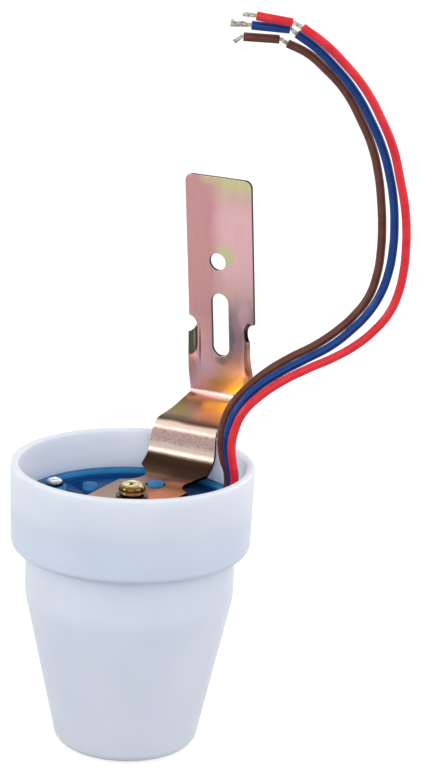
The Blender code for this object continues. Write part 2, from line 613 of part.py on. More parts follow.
def bend_blank(mesh, path):
    """Score the flat blank across its bends and lips, then fold every point of it to its place."""
    bm = bmesh.new()
    bm.from_mesh(mesh)
    notch = path.length - NOTCH_BELOW_TOP
    run, crease, upright = path.pieces[6], path.pieces[7], path.pieces[8][0]
    marks = path.stations()
    marks += [run[0] + run[1] * share for share in (0.25, 0.5, 0.75)]
    marks += [upright + (notch - upright) * share for share in (0.2, 0.4, 0.6)]
    marks += [notch + NOTCH_RADIUS * share for share in (-1.0, -0.5, 0.0, 0.5, 1.0)]
    for mark in marks:
        score(bm, along=mark)
    arc = LIP_BEND_RADIUS * radians(LIP_ANGLE)
    for line in (LIP_LINE_X, LIP_LINE_X + arc / 2, LIP_LINE_X + arc):
        for side in (-1, 1):
            score(bm, side=LIP_SIDE_SHIFT + side * line, within=(run[0], notch + NOTCH_RADIUS))
    for side in (-0.5, 0.0, 0.5):
        score(bm, side=LIP_SIDE_SHIFT + side * LIP_LINE_X, within=(run[0] + DISH_FROM, upright))
    for vert in bm.verts:
        x, along, thick = vert.co
        offset = x - LIP_SIDE_SHIFT
        side = 1 if offset > 0 else -1
        angle = lip_angle(path, along)
        over = max(0.0, abs(offset) - LIP_LINE_X)
        turned_by = min(angle, over / LIP_BEND_RADIUS)
        rest = over - turned_by * LIP_BEND_RADIUS
        across = min(abs(offset), LIP_LINE_X) + LIP_BEND_RADIUS * sin(turned_by) + rest * cos(turned_by)
        lift = LIP_BEND_RADIUS * (1 - cos(turned_by)) + rest * sin(turned_by)
        across -= thick * sin(turned_by)
        lift += thick * cos(turned_by) + dish(path, along) * (x / STRIP_HALF_WIDTH) ** 2
        point, heading = path.at(along)
        point = point + lift * Vector((-sin(heading), cos(heading)))
        vert.co = (LIP_SIDE_SHIFT + side * across, point.x, point.y)
    return bm


def make_bracket(finish):
    path = BracketPath()
    outline = blank_side(path, 1) + blank_side(path, -1)[::-1]
    blank = prism("bracket_blank", outline, -SHEET / 2, SHEET / 2)
    top, deep = path.length, SHEET + CUT_OVER
    cuts = [
        rod("bracket_screw_hole", CLEARANCE_HOLE_RADIUS, -deep, deep, 20, 0.0, -BASE_FRONT_Y),
        rod("bracket_post_hole", POST_HOLE_RADIUS, -deep, deep, 20, 0.0, LOCATING_POST_Y - BASE_FRONT_Y),
        rod("bracket_fixing_hole", HOLE_RADIUS, -deep, deep, 20, HOLE_SIDE_SHIFT, top - HOLE_BELOW_TOP),
    ]
    slot_high = top - SLOT_TOP_BELOW_TOP
    slot = slot_outline(SLOT_SIDE_SHIFT, slot_high - SLOT_LENGTH, slot_high, SLOT_WIDTH)
    cuts.append(prism("bracket_slot", slot, -deep, deep))
    for cutter in cuts:
        combine(blank, cutter, 'DIFFERENCE')
    evaluated = blank.evaluated_get(bpy.context.evaluated_depsgraph_get())
    flat = bpy.data.meshes.new_from_object(evaluated)
    bracket = object_from("bracket", bend_blank(flat, path), finish)
    for item in cuts + [blank]:
        bpy.data.objects.remove(item, do_unlink=True)
    return bracket


def ring(name, inner, outer, low, high, segments, finish, place=(0, 0, 0)):
    profile = [(inner, low), (outer, low), (outer, high), (inner, high)]
    return turned(name, profile, segments, finish, closed=True, place=place)


def make_spring_washer(finish):
    """A split ring of square wire, its two ends a little out of line."""
    bm = bmesh.new()
    inner, low = CLEARANCE_HOLE_RADIUS, SPRING_WASHER_UNDER
    section = [
        (inner, low), (SPRING_WASHER_RADIUS, low),
        (SPRING_WASHER_RADIUS, low + SPRING_WASHER_THICK), (inner, low + SPRING_WASHER_THICK),
    ]
    verts = [bm.verts.new((radius, 0, height)) for radius, height in section]
    edges = [bm.edges.new(pair) for pair in zip(verts, verts[1:] + verts[:1])]
    steps = 22
    turn = radians(360 - SPRING_WASHER_SPLIT)
    bmesh.ops.spin(
        bm, geom=verts + edges, cent=(0, 0, 0), axis=(0, 0, 1), dvec=(0, 0, WASHER_GAP / steps), angle=turn,
        steps=steps,
    )
    bmesh.ops.holes_fill(bm, edges=[e for e in bm.edges if e.is_boundary], sides=4)
    washer = object_from("spring_washer", bm, finish)
    washer.rotation_euler.z = radians(70)
    return washer


def make_bracket_fixing(brass, steel):
    head = (0, 0, SCREW_HEAD_UNDER)
    pan_screw("bracket_screw", SCREW_HEAD_RADIUS, SCREW_HEAD_HEIGHT, SCREW_RADIUS, SCREW_LENGTH, brass, head)
    flat_top = FLAT_WASHER_UNDER + FLAT_WASHER_THICK
    ring("flat_washer", CLEARANCE_HOLE_RADIUS, FLAT_WASHER_RADIUS, FLAT_WASHER_UNDER, flat_top, 28, brass)
    make_spring_washer(brass)
    nut_top = NUT_SEAT - SEAT_GAP
    nut = prism("bracket_nut", hexagon(NUT_ACROSS_FLATS), nut_top - NUT_THICK, nut_top, steel)
    bore_low, bore_high = nut_top - NUT_THICK - CUT_OVER, nut_top + CUT_OVER
    bore = rod("bracket_nut_bore", SCREW_RADIUS + PILOT_ROOM, bore_low, bore_high, 20)
    combine(nut, bore, 'DIFFERENCE')


def make_lid_screws(steel):
    for side, x in LID_SIDES:
        pan_screw(
            "lid_screw_" + side, LID_SCREW_HEAD_RADIUS, LID_SCREW_HEAD_HEIGHT, LID_SCREW_RADIUS,
            LID_SCREW_LENGTH, steel, (x, 0, LID_TOP + WASHER_GAP), point=LID_SCREW_POINT,
        )


def make_board(finish):
    board = rod("circuit_board", BOARD_RADIUS, BOARD_UNDER, BOARD_TOP, 40, finish=finish)
    low, high = BOARD_UNDER - CUT_OVER, BOARD_TOP + CUT_OVER
    for side, x in LID_SIDES:
        room = CUP_BOSS_RADIUS + 2 * SEAT_GAP
        combine(board, rod("board_relief_" + side, room, low, high, 16, x), 'DIFFERENCE')
    for end, y in BOARD_ENDS:
        hole = rod("board_hole_" + end, BOARD_SCREW_RADIUS + SEAT_GAP, low, high, 12, 0.0, y)
        combine(board, hole, 'DIFFERENCE')
    return board


def make_board_screws(steel):
    for end, y in BOARD_ENDS:
        pan_screw(
            "board_screw_" + end, BOARD_SCREW_HEAD_RADIUS, BOARD_SCREW_HEAD_HEIGHT, BOARD_SCREW_RADIUS,
            BOARD_SCREW_LENGTH, steel, (0, y, BOARD_UNDER - WASHER_GAP), flip=True,
        )


def axial_part(name, sizes, finish, place, turn=0.0):
    """A diode or resistor: a turned body with a wire at each end, both bent up to the board."""
    body_radius, body_length, lead_radius, stand_off = sizes
    bend = 2.5 * lead_radius
    reach = body_length / 2 + 2 * lead_radius
    rise = stand_off - SEAT_GAP - bend
    arc = bend * pi / 2
    edge = 0.15 * body_radius
    half = [(reach + arc + rise, 0.0), (reach + arc + rise, lead_radius)]
    half += [(reach + arc * step / 3, lead_radius) for step in (3, 2, 1, 0)]
    half += [(body_length / 2, lead_radius), (body_length / 2, body_radius - edge)]
    half += [(body_length / 2 - edge, body_radius)]
    profile = [(radius, run) for run, radius in half] + [(radius, -run) for run, radius in reversed(half)]
    bm = turned_mesh(profile, 10)
    for vert in bm.verts:
        over = abs(vert.co.z) - reach
        if over <= 0:
            continue
        side = 1 if vert.co.z > 0 else -1
        angle = min(over, arc) / bend
        along = reach + (bend - vert.co.x) * sin(angle)
        up = bend - (bend - vert.co.x) * cos(angle) + max(0.0, over - arc)
        vert.co.x, vert.co.z = up, side * along
    lay = Matrix(((0, 0, 1), (0, 1, 0), (1, 0, 0)))
    bmesh.ops.transform(bm, matrix=lay.to_4x4(), verts=bm.verts)
    item = object_from(name, bm, finish)
    item.location = (*place, BOARD_UNDER - stand_off)
    item.rotation_euler.z = turn
    return item


def make_box_parts():
    """The switching relay and the film capacitor that drops the supply."""
    case = material("relay_case", (0.02, 0.09, 0.35), 0.4)
    film = material("film_yellow", (0.65, 0.42, 0.04), 0.45)
    soft_box("relay", RELAY_SIZE, (*RELAY_PLACE, HUNG_FROM - RELAY_SIZE[2] / 2), BOX_EDGE, case)
    soft_box("film_capacitor", FILM_SIZE, (*FILM_PLACE, HUNG_FROM - FILM_SIZE[2] / 2), BOX_EDGE, film)


def make_smoothing_capacitor():
    """An upright can, crimped round near the board."""
    sleeve = material("capacitor_sleeve", (0.03, 0.03, 0.05), 0.4)
    end, neck = CAN_RADIUS - CAN_CRIMP, HUNG_FROM - 2.5 * CAN_CRIMP
    profile = [(0, HUNG_FROM - CAN_HEIGHT), (end, HUNG_FROM - CAN_HEIGHT)]
    profile += [(CAN_RADIUS, HUNG_FROM - CAN_HEIGHT + CAN_CRIMP), (CAN_RADIUS, neck - CAN_CRIMP)]
    profile += [(end, neck), (CAN_RADIUS, neck + CAN_CRIMP), (CAN_RADIUS, HUNG_FROM), (0, HUNG_FROM)]
    turned("smoothing_capacitor", profile, 18, sleeve, place=(*CAN_PLACE, 0))


def make_light_sensor():
    """A round cell on a stem, facing the cup's closed end."""
    cell = material("light_cell", (0.55, 0.25, 0.08), 0.3)
    low, edge = HUNG_FROM - CELL_DROP, CELL_RADIUS - CELL_EDGE
    back = low + CELL_THICK
    profile = [(0, low), (edge, low), (CELL_RADIUS, low + CELL_EDGE), (CELL_RADIUS, back - CELL_EDGE)]
    profile += [(edge, back), (CELL_STEM_RADIUS, back), (CELL_STEM_RADIUS, HUNG_FROM), (0, HUNG_FROM)]
    turned("light_sensor", profile, 16, cell, place=(*CELL_PLACE, 0))


def make_axial_parts():
    """Four rectifier diodes beside the back pillar, a zener diode and three resistors."""
    black = material("diode_black", (0.015, 0.015, 0.018), 0.4)
    glass = material("zener_glass", (0.5, 0.12, 0.03), 0.15)
    lacquer = material("resistor_tan", (0.55, 0.42, 0.26), 0.5)
    spots = [(x, y) for y in RECTIFIER_ROWS for x in (-RECTIFIER_X, RECTIFIER_X)]
    for index, spot in enumerate(spots):
        axial_part(f"rectifier_diode_{index + 1}", DIODE_SIZES, black, spot)
    axial_part("zener_diode", ZENER_SIZES, glass, (ZENER_X, ZENER_Y), pi / 2)
    axial_part("bleed_resistor", SMALL_RESISTOR_SIZES, lacquer, BLEED_PLACE)
    axial_part("surge_resistor", LARGE_RESISTOR_SIZES, lacquer, SURGE_PLACE)
    axial_part("sensing_resistor", SMALL_RESISTOR_SIZES, lacquer, (FILM_PLACE[0], SENSING_Y))


def make_transistors():
    """Two round-backed cases, each with one flat side."""
    black = material("transistor_black", (0.015, 0.015, 0.018), 0.4)
    outline = [(x, max(y, -TRANSISTOR_FLAT)) for x, y in corner((0, 0), TRANSISTOR_RADIUS, -35, 215, 8)]
    for index in range(2):
        low, y = HUNG_FROM - TRANSISTOR_HEIGHT, TRANSISTOR_Y + index * TRANSISTOR_STEP
        prism(f"driver_transistor_{index + 1}", outline, low, HUNG_FROM, black, (TRANSISTOR_X, y, 0))


def smooth_route(points, spacing):
    """Points at an even spacing on a smooth curve through the given ones."""
    padded = [2 * points[0] - points[1]] + points + [2 * points[-1] - points[-2]]
    fine = []
    for a, b, c, d in zip(padded, padded[1:], padded[2:], padded[3:]):
        for step in range(12):
            t = step / 12
            fine.append(0.5 * (2 * b + (c - a) * t + (2 * a - 5 * b + 4 * c - d) * t**2
                               + (3 * b - a - 3 * c + d) * t**3))
    fine.append(points[-1])
    lengths = [(b - a).length for a, b in zip(fine, fine[1:])]
    count = max(2, round(sum(lengths) / spacing))
    even, passed, index = [fine[0]], 0.0, 0
    for step in range(1, count):
        target = sum(lengths) * step / count
        while passed + lengths[index] < target:
            passed += lengths[index]
            index += 1
        even.append(fine[index].lerp(fine[index + 1], (target - passed) / lengths[index]))
    return even + [fine[-1]]


def round_cable(name, points, radius, finish):
    curve = bpy.data.curves.new(name, 'CURVE')
    curve.dimensions = '3D'
    curve.bevel_depth = radius
    curve.bevel_resolution = 2
    curve.use_fill_caps = True
    spline = curve.splines.new('POLY')
    spline.points.add(len(points) - 1)
    for target, point in zip(spline.points, points):
        target.co = (*point, 1.0)
    return add_object(name, curve, finish)


def make_leads(strand_finish):
    colours = {
        "brown": (0.19, 0.075, 0.055), "blue": (0.005, 0.045, 0.25), "red": (0.80, 0.035, 0.045),
    }
    for colour, route in LEAD_ROUTES.items():
        sleeve = material("insulation_" + colour, colours[colour], 0.4)
        root = LEAD_ROOTS[colour]
        upright = [(root, BOARD_TOP + SEAT_GAP), (root, 0.5 * (BOARD_TOP + LID_TOP)), (root, LID_TOP)]
        points = [lead_place(colour, *point) for point in upright + list(route)]
        round_cable("lead_" + colour, smooth_route(points, 2.6 * 2 * LEAD_RADIUS), LEAD_RADIUS, sleeve)
        near, far = (lead_place(colour, *point) for point in SLUG_ENDS[colour])
        tip = lead_place(colour, *STRAND_TIPS[colour])
        end = points[-1]
        start = end + (near - end).normalized() * SEAT_GAP
        round_cable("strands_" + colour, [start, near, far, tip], STRAND_RADIUS, strand_finish)
        axis = (far - near).normalized()
        length = (far - near).length - 2 * SLUG_INSET
        slug = ring("slug_" + colour, SLUG_BORE_RADIUS, LEAD_RADIUS, 0.0, length, 12, sleeve)
        slug.location = near + SLUG_INSET * axis
        slug.rotation_mode = 'QUATERNION'
        slug.rotation_quaternion = axis.to_track_quat('Z', 'Y')


clear_scene()
make_cup(material("frosted_polypropylene", (0.72, 0.76, 0.82), 0.45))
make_lid(material("blue_abs", (0.006, 0.075, 0.27), 0.3))
make_bracket(material("yellow_zinc_steel", (0.55, 0.33, 0.30), 0.3, 1.0))
zinc_steel = material("zinc_steel", (0.6, 0.6, 0.6), 0.3, 1.0)
make_bracket_fixing(material("brassed_steel", (0.60, 0.45, 0.15), 0.25, 1.0), zinc_steel)
make_lid_screws(material("nickel_steel", (0.75, 0.75, 0.75), 0.2, 1.0))
make_board(material("board_laminate", (0.30, 0.20, 0.07), 0.5))
make_board_screws(zinc_steel)
make_box_parts()
make_smoothing_capacitor()
make_light_sensor()
make_axial_parts()
make_transistors()
make_leads(material("tinned_copper", (0.55, 0.50, 0.44), 0.35, 1.0))
bpy.context.view_layer.update()
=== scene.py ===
"""Photocell switch: a milky pot with a screwed blue lid, a bent fixing bracket and three stripped leads.

Metres, +Z up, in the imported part's own frame. The origin is the middle of the cup's closed end, and +Y
points to the bracket's upright plate.
"""
from math import ceil, cos, degrees, pi, radians, sin, tan

import bmesh
import bpy
from mathutils import Matrix, Vector


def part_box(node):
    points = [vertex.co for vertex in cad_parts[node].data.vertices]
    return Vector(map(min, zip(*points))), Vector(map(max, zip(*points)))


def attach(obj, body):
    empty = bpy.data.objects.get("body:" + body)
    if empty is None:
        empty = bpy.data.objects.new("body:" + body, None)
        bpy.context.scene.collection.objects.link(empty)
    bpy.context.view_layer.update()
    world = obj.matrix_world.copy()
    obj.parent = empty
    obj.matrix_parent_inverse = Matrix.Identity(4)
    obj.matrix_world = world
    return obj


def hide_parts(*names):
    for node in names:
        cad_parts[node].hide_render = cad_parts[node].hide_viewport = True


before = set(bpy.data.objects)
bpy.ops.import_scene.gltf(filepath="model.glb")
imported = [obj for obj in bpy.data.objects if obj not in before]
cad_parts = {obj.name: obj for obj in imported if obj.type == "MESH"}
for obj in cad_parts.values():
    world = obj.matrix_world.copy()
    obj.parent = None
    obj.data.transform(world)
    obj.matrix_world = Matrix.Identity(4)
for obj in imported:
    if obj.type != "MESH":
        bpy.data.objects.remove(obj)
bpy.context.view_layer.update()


# The cup is one moulding in milky polypropylene: a tapered pot with a straight neck and a deep stepped
# collar. It stands on its closed end, and light reaches the cell inside through that end. Two ribs inside
# take the lid screws.
CUP_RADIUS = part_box("cup")[1].x
CUP_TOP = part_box("cup")[1].z
COLLAR_LOW = CUP_TOP - 0.0242
NECK_LOW = COLLAR_LOW - 0.0134
NECK_RADIUS = CUP_RADIUS - 0.0047
END_RADIUS = NECK_RADIUS - 0.0095
MOUTH_RADIUS = CUP_RADIUS - 0.0024
LEDGE = COLLAR_LOW + 0.0022
WALL = 0.0022
END_ROUNDING = 0.0028
NECK_ROUNDING = 0.0016
COLLAR_ROUNDING = 0.0022
COLLAR_DRAFT = 0.0006
MOUTH_ROUNDING = 0.0007
CORNER_ROUNDING = 0.0004
SCREW_SIDE = NECK_RADIUS - 0.0040
LID_FLOOR_UNDER = CUP_TOP - 0.0155
RIB_TOP = LID_FLOOR_UNDER - 0.0003
RIB_RADIUS = 0.0030
RIB_LENGTH = 0.0200
RIB_FOOT = 0.0230
RIB_HOLE_RADIUS = 0.0015
RIB_HOLE_DEPTH = 0.0123


def linear(hex_colour):
    """An sRGB hex colour as the linear colour that a socket takes."""
    channels = [int(hex_colour[k:k + 2], 16) / 255 for k in (1, 3, 5)]
    return [c / 12.92 if c <= 0.04045 else ((c + 0.055) / 1.055) ** 2.4 for c in channels] + [1.0]


def set_inputs(tree, target, inputs):
    """Each input of a node takes a value, or the output that is linked to it."""
    for name, value in inputs.items():
        if isinstance(value, bpy.types.NodeSocket):
            tree.links.new(value, target.inputs[name])
        else:
            target.inputs[name].default_value = value


def add_node(tree, kind, inputs, stops=(), **settings):
    """Add a node with its settings, inputs and links. Stops are a ramp's places and colours, in order."""
    new = tree.nodes.new(kind)
    for name, value in settings.items():
        setattr(new, name, value)
    set_inputs(tree, new, inputs)
    if stops:
        marks = new.color_ramp.elements
        marks.remove(marks[1])
        marks[0].position = stops[0][0]
        marks[0].color = linear(stops[0][1])
    for place, colour in stops[1:]:
        marks.new(place).color = linear(colour)
    return new


def new_finish(name):
    """A material, its tree, its shader and the coordinates that its patterns read, in metres on the part."""
    material = bpy.data.materials.new(name)
    material.use_nodes = True
    tree = material.node_tree
    place = add_node(tree, "ShaderNodeTexCoord", {})
    return material, tree, tree.nodes["Principled BSDF"], place.outputs["Object"]


def spin_profile(bm, corners, steps, centre=(0, 0, 0), closed=False):
    """Spin a profile of (radius, height, rounding) corners round an upright axis at centre, in a bmesh."""
    before = set(bm.verts)
    verts = [bm.verts.new((radius, 0.0, height)) for radius, height, _ in corners]
    for pair in zip(verts, verts[1:] + verts[:1] if closed else verts[1:]):
        bm.edges.new(pair)
    for vert, (_, _, rounding) in zip(verts, corners):
        if rounding:
            bmesh.ops.bevel(
                bm, geom=[vert], offset=rounding, offset_type='OFFSET', segments=5, profile=0.5,
                affect='VERTICES', material=-1,
            )
    verts = [v for v in bm.verts if v not in before]
    edges = list(dict.fromkeys(e for v in verts for e in v.link_edges))
    bmesh.ops.spin(
        bm, geom=verts + edges, cent=(0, 0, 0), axis=(0, 0, 1), angle=2 * pi, steps=steps, use_merge=True
    )
    verts = [v for v in bm.verts if v not in before]
    bmesh.ops.remove_doubles(bm, verts=verts, dist=1e-6)
    verts = [v for v in bm.verts if v not in before]
    bmesh.ops.recalc_face_normals(bm, faces=list(dict.fromkeys(f for v in verts for f in v.link_faces)))
    bmesh.ops.translate(bm, vec=centre, verts=verts)


def finished(name, bm, finish, sharp=30):
    """Turn a bmesh into a piece on the part's one body, smooth where it turns by less than sharp degrees."""
    mesh = bpy.data.meshes.new(name)
    bm.to_mesh(mesh)
    bm.free()
    mesh.shade_smooth()
    mesh.set_sharp_from_angle(angle=radians(sharp))
    mesh.materials.append(finish)
    piece = bpy.data.objects.new(name, mesh)
    bpy.context.collection.objects.link(piece)
    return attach(piece, "root")


# Milky polypropylene scatters light under its skin, so its shadows are faint, cool and soft. Light runs
# furthest in the open collar, which it enters from both sides. The body below the collar is painted a little
# lighter and greyer than the collar: painted light that makes up for the light the closed body loses under
# its skin. The mould leaves a fine satin grain of about 0.3 mm, and the melt cools into lighter and darker
# clouds of 30 mm.
def milky_polypropylene_moulded():
    material, tree, shader, place = new_finish("milky_polypropylene_moulded")
    cloud = add_node(tree, "ShaderNodeTexNoise", {"Vector": place, "Scale": 1 / 0.030, "Detail": 2.0})
    height = add_node(tree, "ShaderNodeSeparateXYZ", {"Vector": place})
    body = add_node(
        tree, "ShaderNodeValToRGB", {"Fac": cloud.outputs["Fac"]}, ((0.3, "#D9DFEB"), (0.7, "#E2E7F1"))
    )
    collar = add_node(
        tree, "ShaderNodeValToRGB", {"Fac": cloud.outputs["Fac"]}, ((0.3, "#CED7E8"), (0.7, "#D8E0EF"))
    )
    # Painted light: the body's lighter tint fades into the collar's darker, bluer one over the collar's foot.
    raised = add_node(
        tree, "ShaderNodeMapRange",
        {"Value": height.outputs["Z"], "From Min": COLLAR_LOW - 0.006, "From Max": COLLAR_LOW + 0.004},
        interpolation_type='SMOOTHSTEP',
    )
    tint = add_node(
        tree, "ShaderNodeMix",
        {0: raised.outputs["Result"], 6: body.outputs["Color"], 7: collar.outputs["Color"]}, data_type='RGBA',
    )
    depth = add_node(
        tree, "ShaderNodeMapRange",
        {"Value": height.outputs["Z"], "From Min": COLLAR_LOW + 0.008, "From Max": CUP_TOP - 0.006,
         "To Min": 0.0015, "To Max": 0.010},
        interpolation_type='SMOOTHSTEP',
    )
    grain = add_node(tree, "ShaderNodeTexNoise", {"Vector": place, "Scale": 1 / 0.0003, "Detail": 1.0})
    skin = add_node(
        tree, "ShaderNodeBump", {"Height": grain.outputs["Fac"], "Strength": 0.08, "Distance": 0.00005}
    )
    set_inputs(tree, shader, {
        "Base Color": tint.outputs[2], "Roughness": 0.42, "IOR": 1.49, "Normal": skin.outputs["Normal"],
        "Subsurface Weight": 0.8, "Subsurface Radius": (1.0, 1.0, 1.2),
        "Subsurface Scale": depth.outputs["Result"],
    })
    return material


END_SLOPE = (NECK_RADIUS - END_RADIUS) / NECK_LOW
bm = bmesh.new()
spin_profile(bm, (
    (0.0, 0.0, 0.0),
    (END_RADIUS, 0.0, END_ROUNDING),
    (NECK_RADIUS, NECK_LOW, NECK_ROUNDING),
    (NECK_RADIUS, COLLAR_LOW, CORNER_ROUNDING),
    (CUP_RADIUS - COLLAR_DRAFT, COLLAR_LOW, COLLAR_ROUNDING),
    (CUP_RADIUS, CUP_TOP, MOUTH_ROUNDING),
    (MOUTH_RADIUS, CUP_TOP, MOUTH_ROUNDING),
    (MOUTH_RADIUS, LEDGE, CORNER_ROUNDING),
    (NECK_RADIUS - WALL, LEDGE, CORNER_ROUNDING),
    (NECK_RADIUS - WALL, NECK_LOW, NECK_ROUNDING),
    (END_RADIUS - WALL + WALL * END_SLOPE, WALL, 0.0019),
    (0.0, WALL, 0.0),
), 160)
for side in (-1, 1):
    spin_profile(bm, (
        (0.0, RIB_TOP - RIB_FOOT, 0.0), (RIB_RADIUS, RIB_TOP - RIB_LENGTH, 0.0),
        (RIB_RADIUS, RIB_TOP, 0.0003), (RIB_HOLE_RADIUS, RIB_TOP, 0.0),
        (RIB_HOLE_RADIUS, RIB_TOP - RIB_HOLE_DEPTH, 0.0),
        (0.0, RIB_TOP - RIB_HOLE_DEPTH, 0.0),
    ), 32, (side * SCREW_SIDE, 0, 0))
cup = finished("cup_moulding", bm, milky_polypropylene_moulded())
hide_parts("cup")


# The circuit board hangs below the lid on two screws, and its parts point down into the cup. All of it is
# closed in, so the solids stay as they are and only take the finish of each kind of part.
def dress(name, finish):
    """Give a carried-over solid its finish."""
    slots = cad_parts[name].data.materials
    slots.clear()
    slots.append(finish)


# Paper laminate is brown with a fine fibre, and its copper tracks lie under a dull green lacquer in straight
# runs 8 mm long.
def lacquered_paper_laminate():
    material, tree, shader, place = new_finish("lacquered_paper_laminate")
    tracks = add_node(
        tree, "ShaderNodeTexBrick",
        {"Vector": place, "Scale": 1 / 0.008, "Mortar Size": 0.08, "Color1": linear("#3D6B45"),
         "Color2": linear("#477550"), "Mortar": linear("#8A6A3C")},
    )
    fibre = add_node(tree, "ShaderNodeTexNoise", {"Vector": place, "Scale": 1 / 0.0012, "Detail": 3.0})
    skin = add_node(
        tree, "ShaderNodeBump", {"Height": fibre.outputs["Fac"], "Strength": 0.2, "Distance": 0.00005}
    )
    set_inputs(tree, shader, {
        "Base Color": tracks.outputs["Color"], "Roughness": 0.45, "Normal": skin.outputs["Normal"],
    })
    return material


# Component bodies are cast or moulded in resin, with a slightly uneven colour over 2 mm and a dull grain.
def cast_resin(name, dark, light, roughness):
    material, tree, shader, place = new_finish(name)
    cloud = add_node(tree, "ShaderNodeTexNoise", {"Vector": place, "Scale": 1 / 0.002, "Detail": 2.0})
    tint = add_node(tree, "ShaderNodeValToRGB", {"Fac": cloud.outputs["Fac"]}, ((0.3, dark), (0.7, light)))
    grain = add_node(tree, "ShaderNodeTexNoise", {"Vector": place, "Scale": 1 / 0.0002, "Detail": 1.0})
    skin = add_node(
        tree, "ShaderNodeBump", {"Height": grain.outputs["Fac"], "Strength": 0.15, "Distance": 0.00003}
    )
    set_inputs(tree, shader, {
        "Base Color": tint.outputs["Color"], "Roughness": roughness, "Normal": skin.outputs["Normal"],
    })
    return material


# Plating on a small steel fastener: faint streaks round its turned faces, under 1 mm apart. Its tint runs by
# height from below the seat of its head to its crown: painted shade low down and in the recess, and a painted
# highlight on the crown.
def plated_steel(name, seat, crown, painted_light_tints, roughness):
    material, tree, shader, place = new_finish(name)
    streaks = add_node(tree, "ShaderNodeMapping", {"Vector": place, "Scale": (1.0, 1.0, 12.0)})
    wear = add_node(
        tree, "ShaderNodeTexNoise", {"Vector": streaks.outputs["Vector"], "Scale": 1 / 0.0009, "Detail": 2.0}
    )
    height = add_node(tree, "ShaderNodeSeparateXYZ", {"Vector": place})
    # Painted light: the height of a point sets its shade or highlight, and the streaks mottle it.
    raised = add_node(
        tree, "ShaderNodeMapRange",
        {"Value": height.outputs["Z"], "From Min": seat, "From Max": crown, "To Max": 0.8},
    )
    painted_shade_and_streaks = add_node(
        tree, "ShaderNodeMath", {0: wear.outputs["Fac"], 1: 0.3, 2: raised.outputs["Result"]},
        operation='MULTIPLY_ADD',
    )
    tint = add_node(tree, "ShaderNodeValToRGB", {"Fac": painted_shade_and_streaks.outputs["Value"]}, painted_light_tints)
    skin = add_node(
        tree, "ShaderNodeBump", {"Height": wear.outputs["Fac"], "Strength": 0.08, "Distance": 0.00003}
    )
    set_inputs(tree, shader, {
        "Base Color": tint.outputs["Color"], "Metallic": 1.0, "Roughness": roughness,
        "Normal": skin.outputs["Normal"],
    })
    return material


zinc = plated_steel("dull_zinc_plated_steel", 0.0, CUP_TOP, ((0.0, "#A9ABAD"), (1.0, "#C4C6C8")), 0.32)
black_epoxy = cast_resin("black_epoxy_moulded", "#17181A", "#222326", 0.45)
tan_lacquer = cast_resin("tan_resistor_lacquer", "#B79C72", "#C9B08A", 0.5)
dress("circuit_board", lacquered_paper_laminate())
dress("board_screw_front", zinc)
dress("board_screw_back", zinc)
dress("bracket_nut", zinc)
dress("relay", cast_resin("blue_polyester_moulded", "#17498A", "#1F57A0", 0.4))
dress("film_capacitor", cast_resin("yellow_potting_box", "#C79A22", "#D6AC36", 0.45))
dress("smoothing_capacitor", cast_resin("black_shrink_sleeve", "#16161C", "#24242E", 0.35))
dress("light_sensor", cast_resin("coated_ceramic_cell", "#A8643A", "#C98A56", 0.3))
dress("zener_diode", cast_resin("orange_glass_body", "#9A4420", "#B75A2C", 0.15))
for index in (1, 2, 3, 4):
    dress(f"rectifier_diode_{index}", black_epoxy)
for index in (1, 2):
    dress(f"driver_transistor_{index}", black_epoxy)
for name in ("bleed_resistor", "surge_resistor", "sensing_resistor"):
    dress(name, tan_lacquer)


# The lid is a dish moulded in glossy blue ABS. Its rim, its middle pad and its bosses stand at one level.
# One post keys the bracket, one stands free, two bosses take the lid screws and three short tubes let the
# leads out.
LID_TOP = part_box("lid")[1].z - 0.0021
DISH = LID_TOP - 0.0022
LID_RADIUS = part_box("lid")[1].x
SKIRT_LOW = LEDGE + 0.0003
RIM_WALL = 0.0018
SKIRT_WALL = 0.0016
EDGE = 0.0003
PAD_RADIUS = 0.0094
POCKET_RADIUS = 0.0058
POCKET_DEPTH = 0.0012
BOSS_RADIUS = 0.0034
KEY_POST_Y = 0.0133
KEY_POST_RADIUS = 0.0023
FREE_POST = (-0.0175, 0.0065)
FREE_POST_RADIUS = 0.00205
BOARD_PILLAR_Y = 0.0203
BOARD_PILLAR_RADIUS = 0.0027
BOARD_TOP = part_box("circuit_board")[1].z
BOARD_GAP = 0.0003
LID_SCREW_HOLE_RADIUS = 0.0016
BRACKET_SCREW_HOLE_RADIUS = 0.0023
LEAD_RADIUS = 0.0012
LEAD_HOLE_RADIUS = LEAD_RADIUS + 0.0003
OUTLET_WALL = 0.0008
LEAD_PLANE_ANGLE = 29.7
LEAD_PLANE_STEP = 0.00275
LEAD_ROOTS = {"brown": 0.0266, "blue": 0.0273, "red": 0.0278}
LEAD_ROWS = {"brown": 1, "blue": 0, "red": -1}


def lead_place(colour, out, height):
    """A point of a lead from its distance out along its own upright plane and its height."""
    angle = radians(LEAD_PLANE_ANGLE)
    back = LEAD_ROWS[colour] * LEAD_PLANE_STEP
    return Vector((out * cos(angle) - back * sin(angle), out * sin(angle) + back * cos(angle), height))
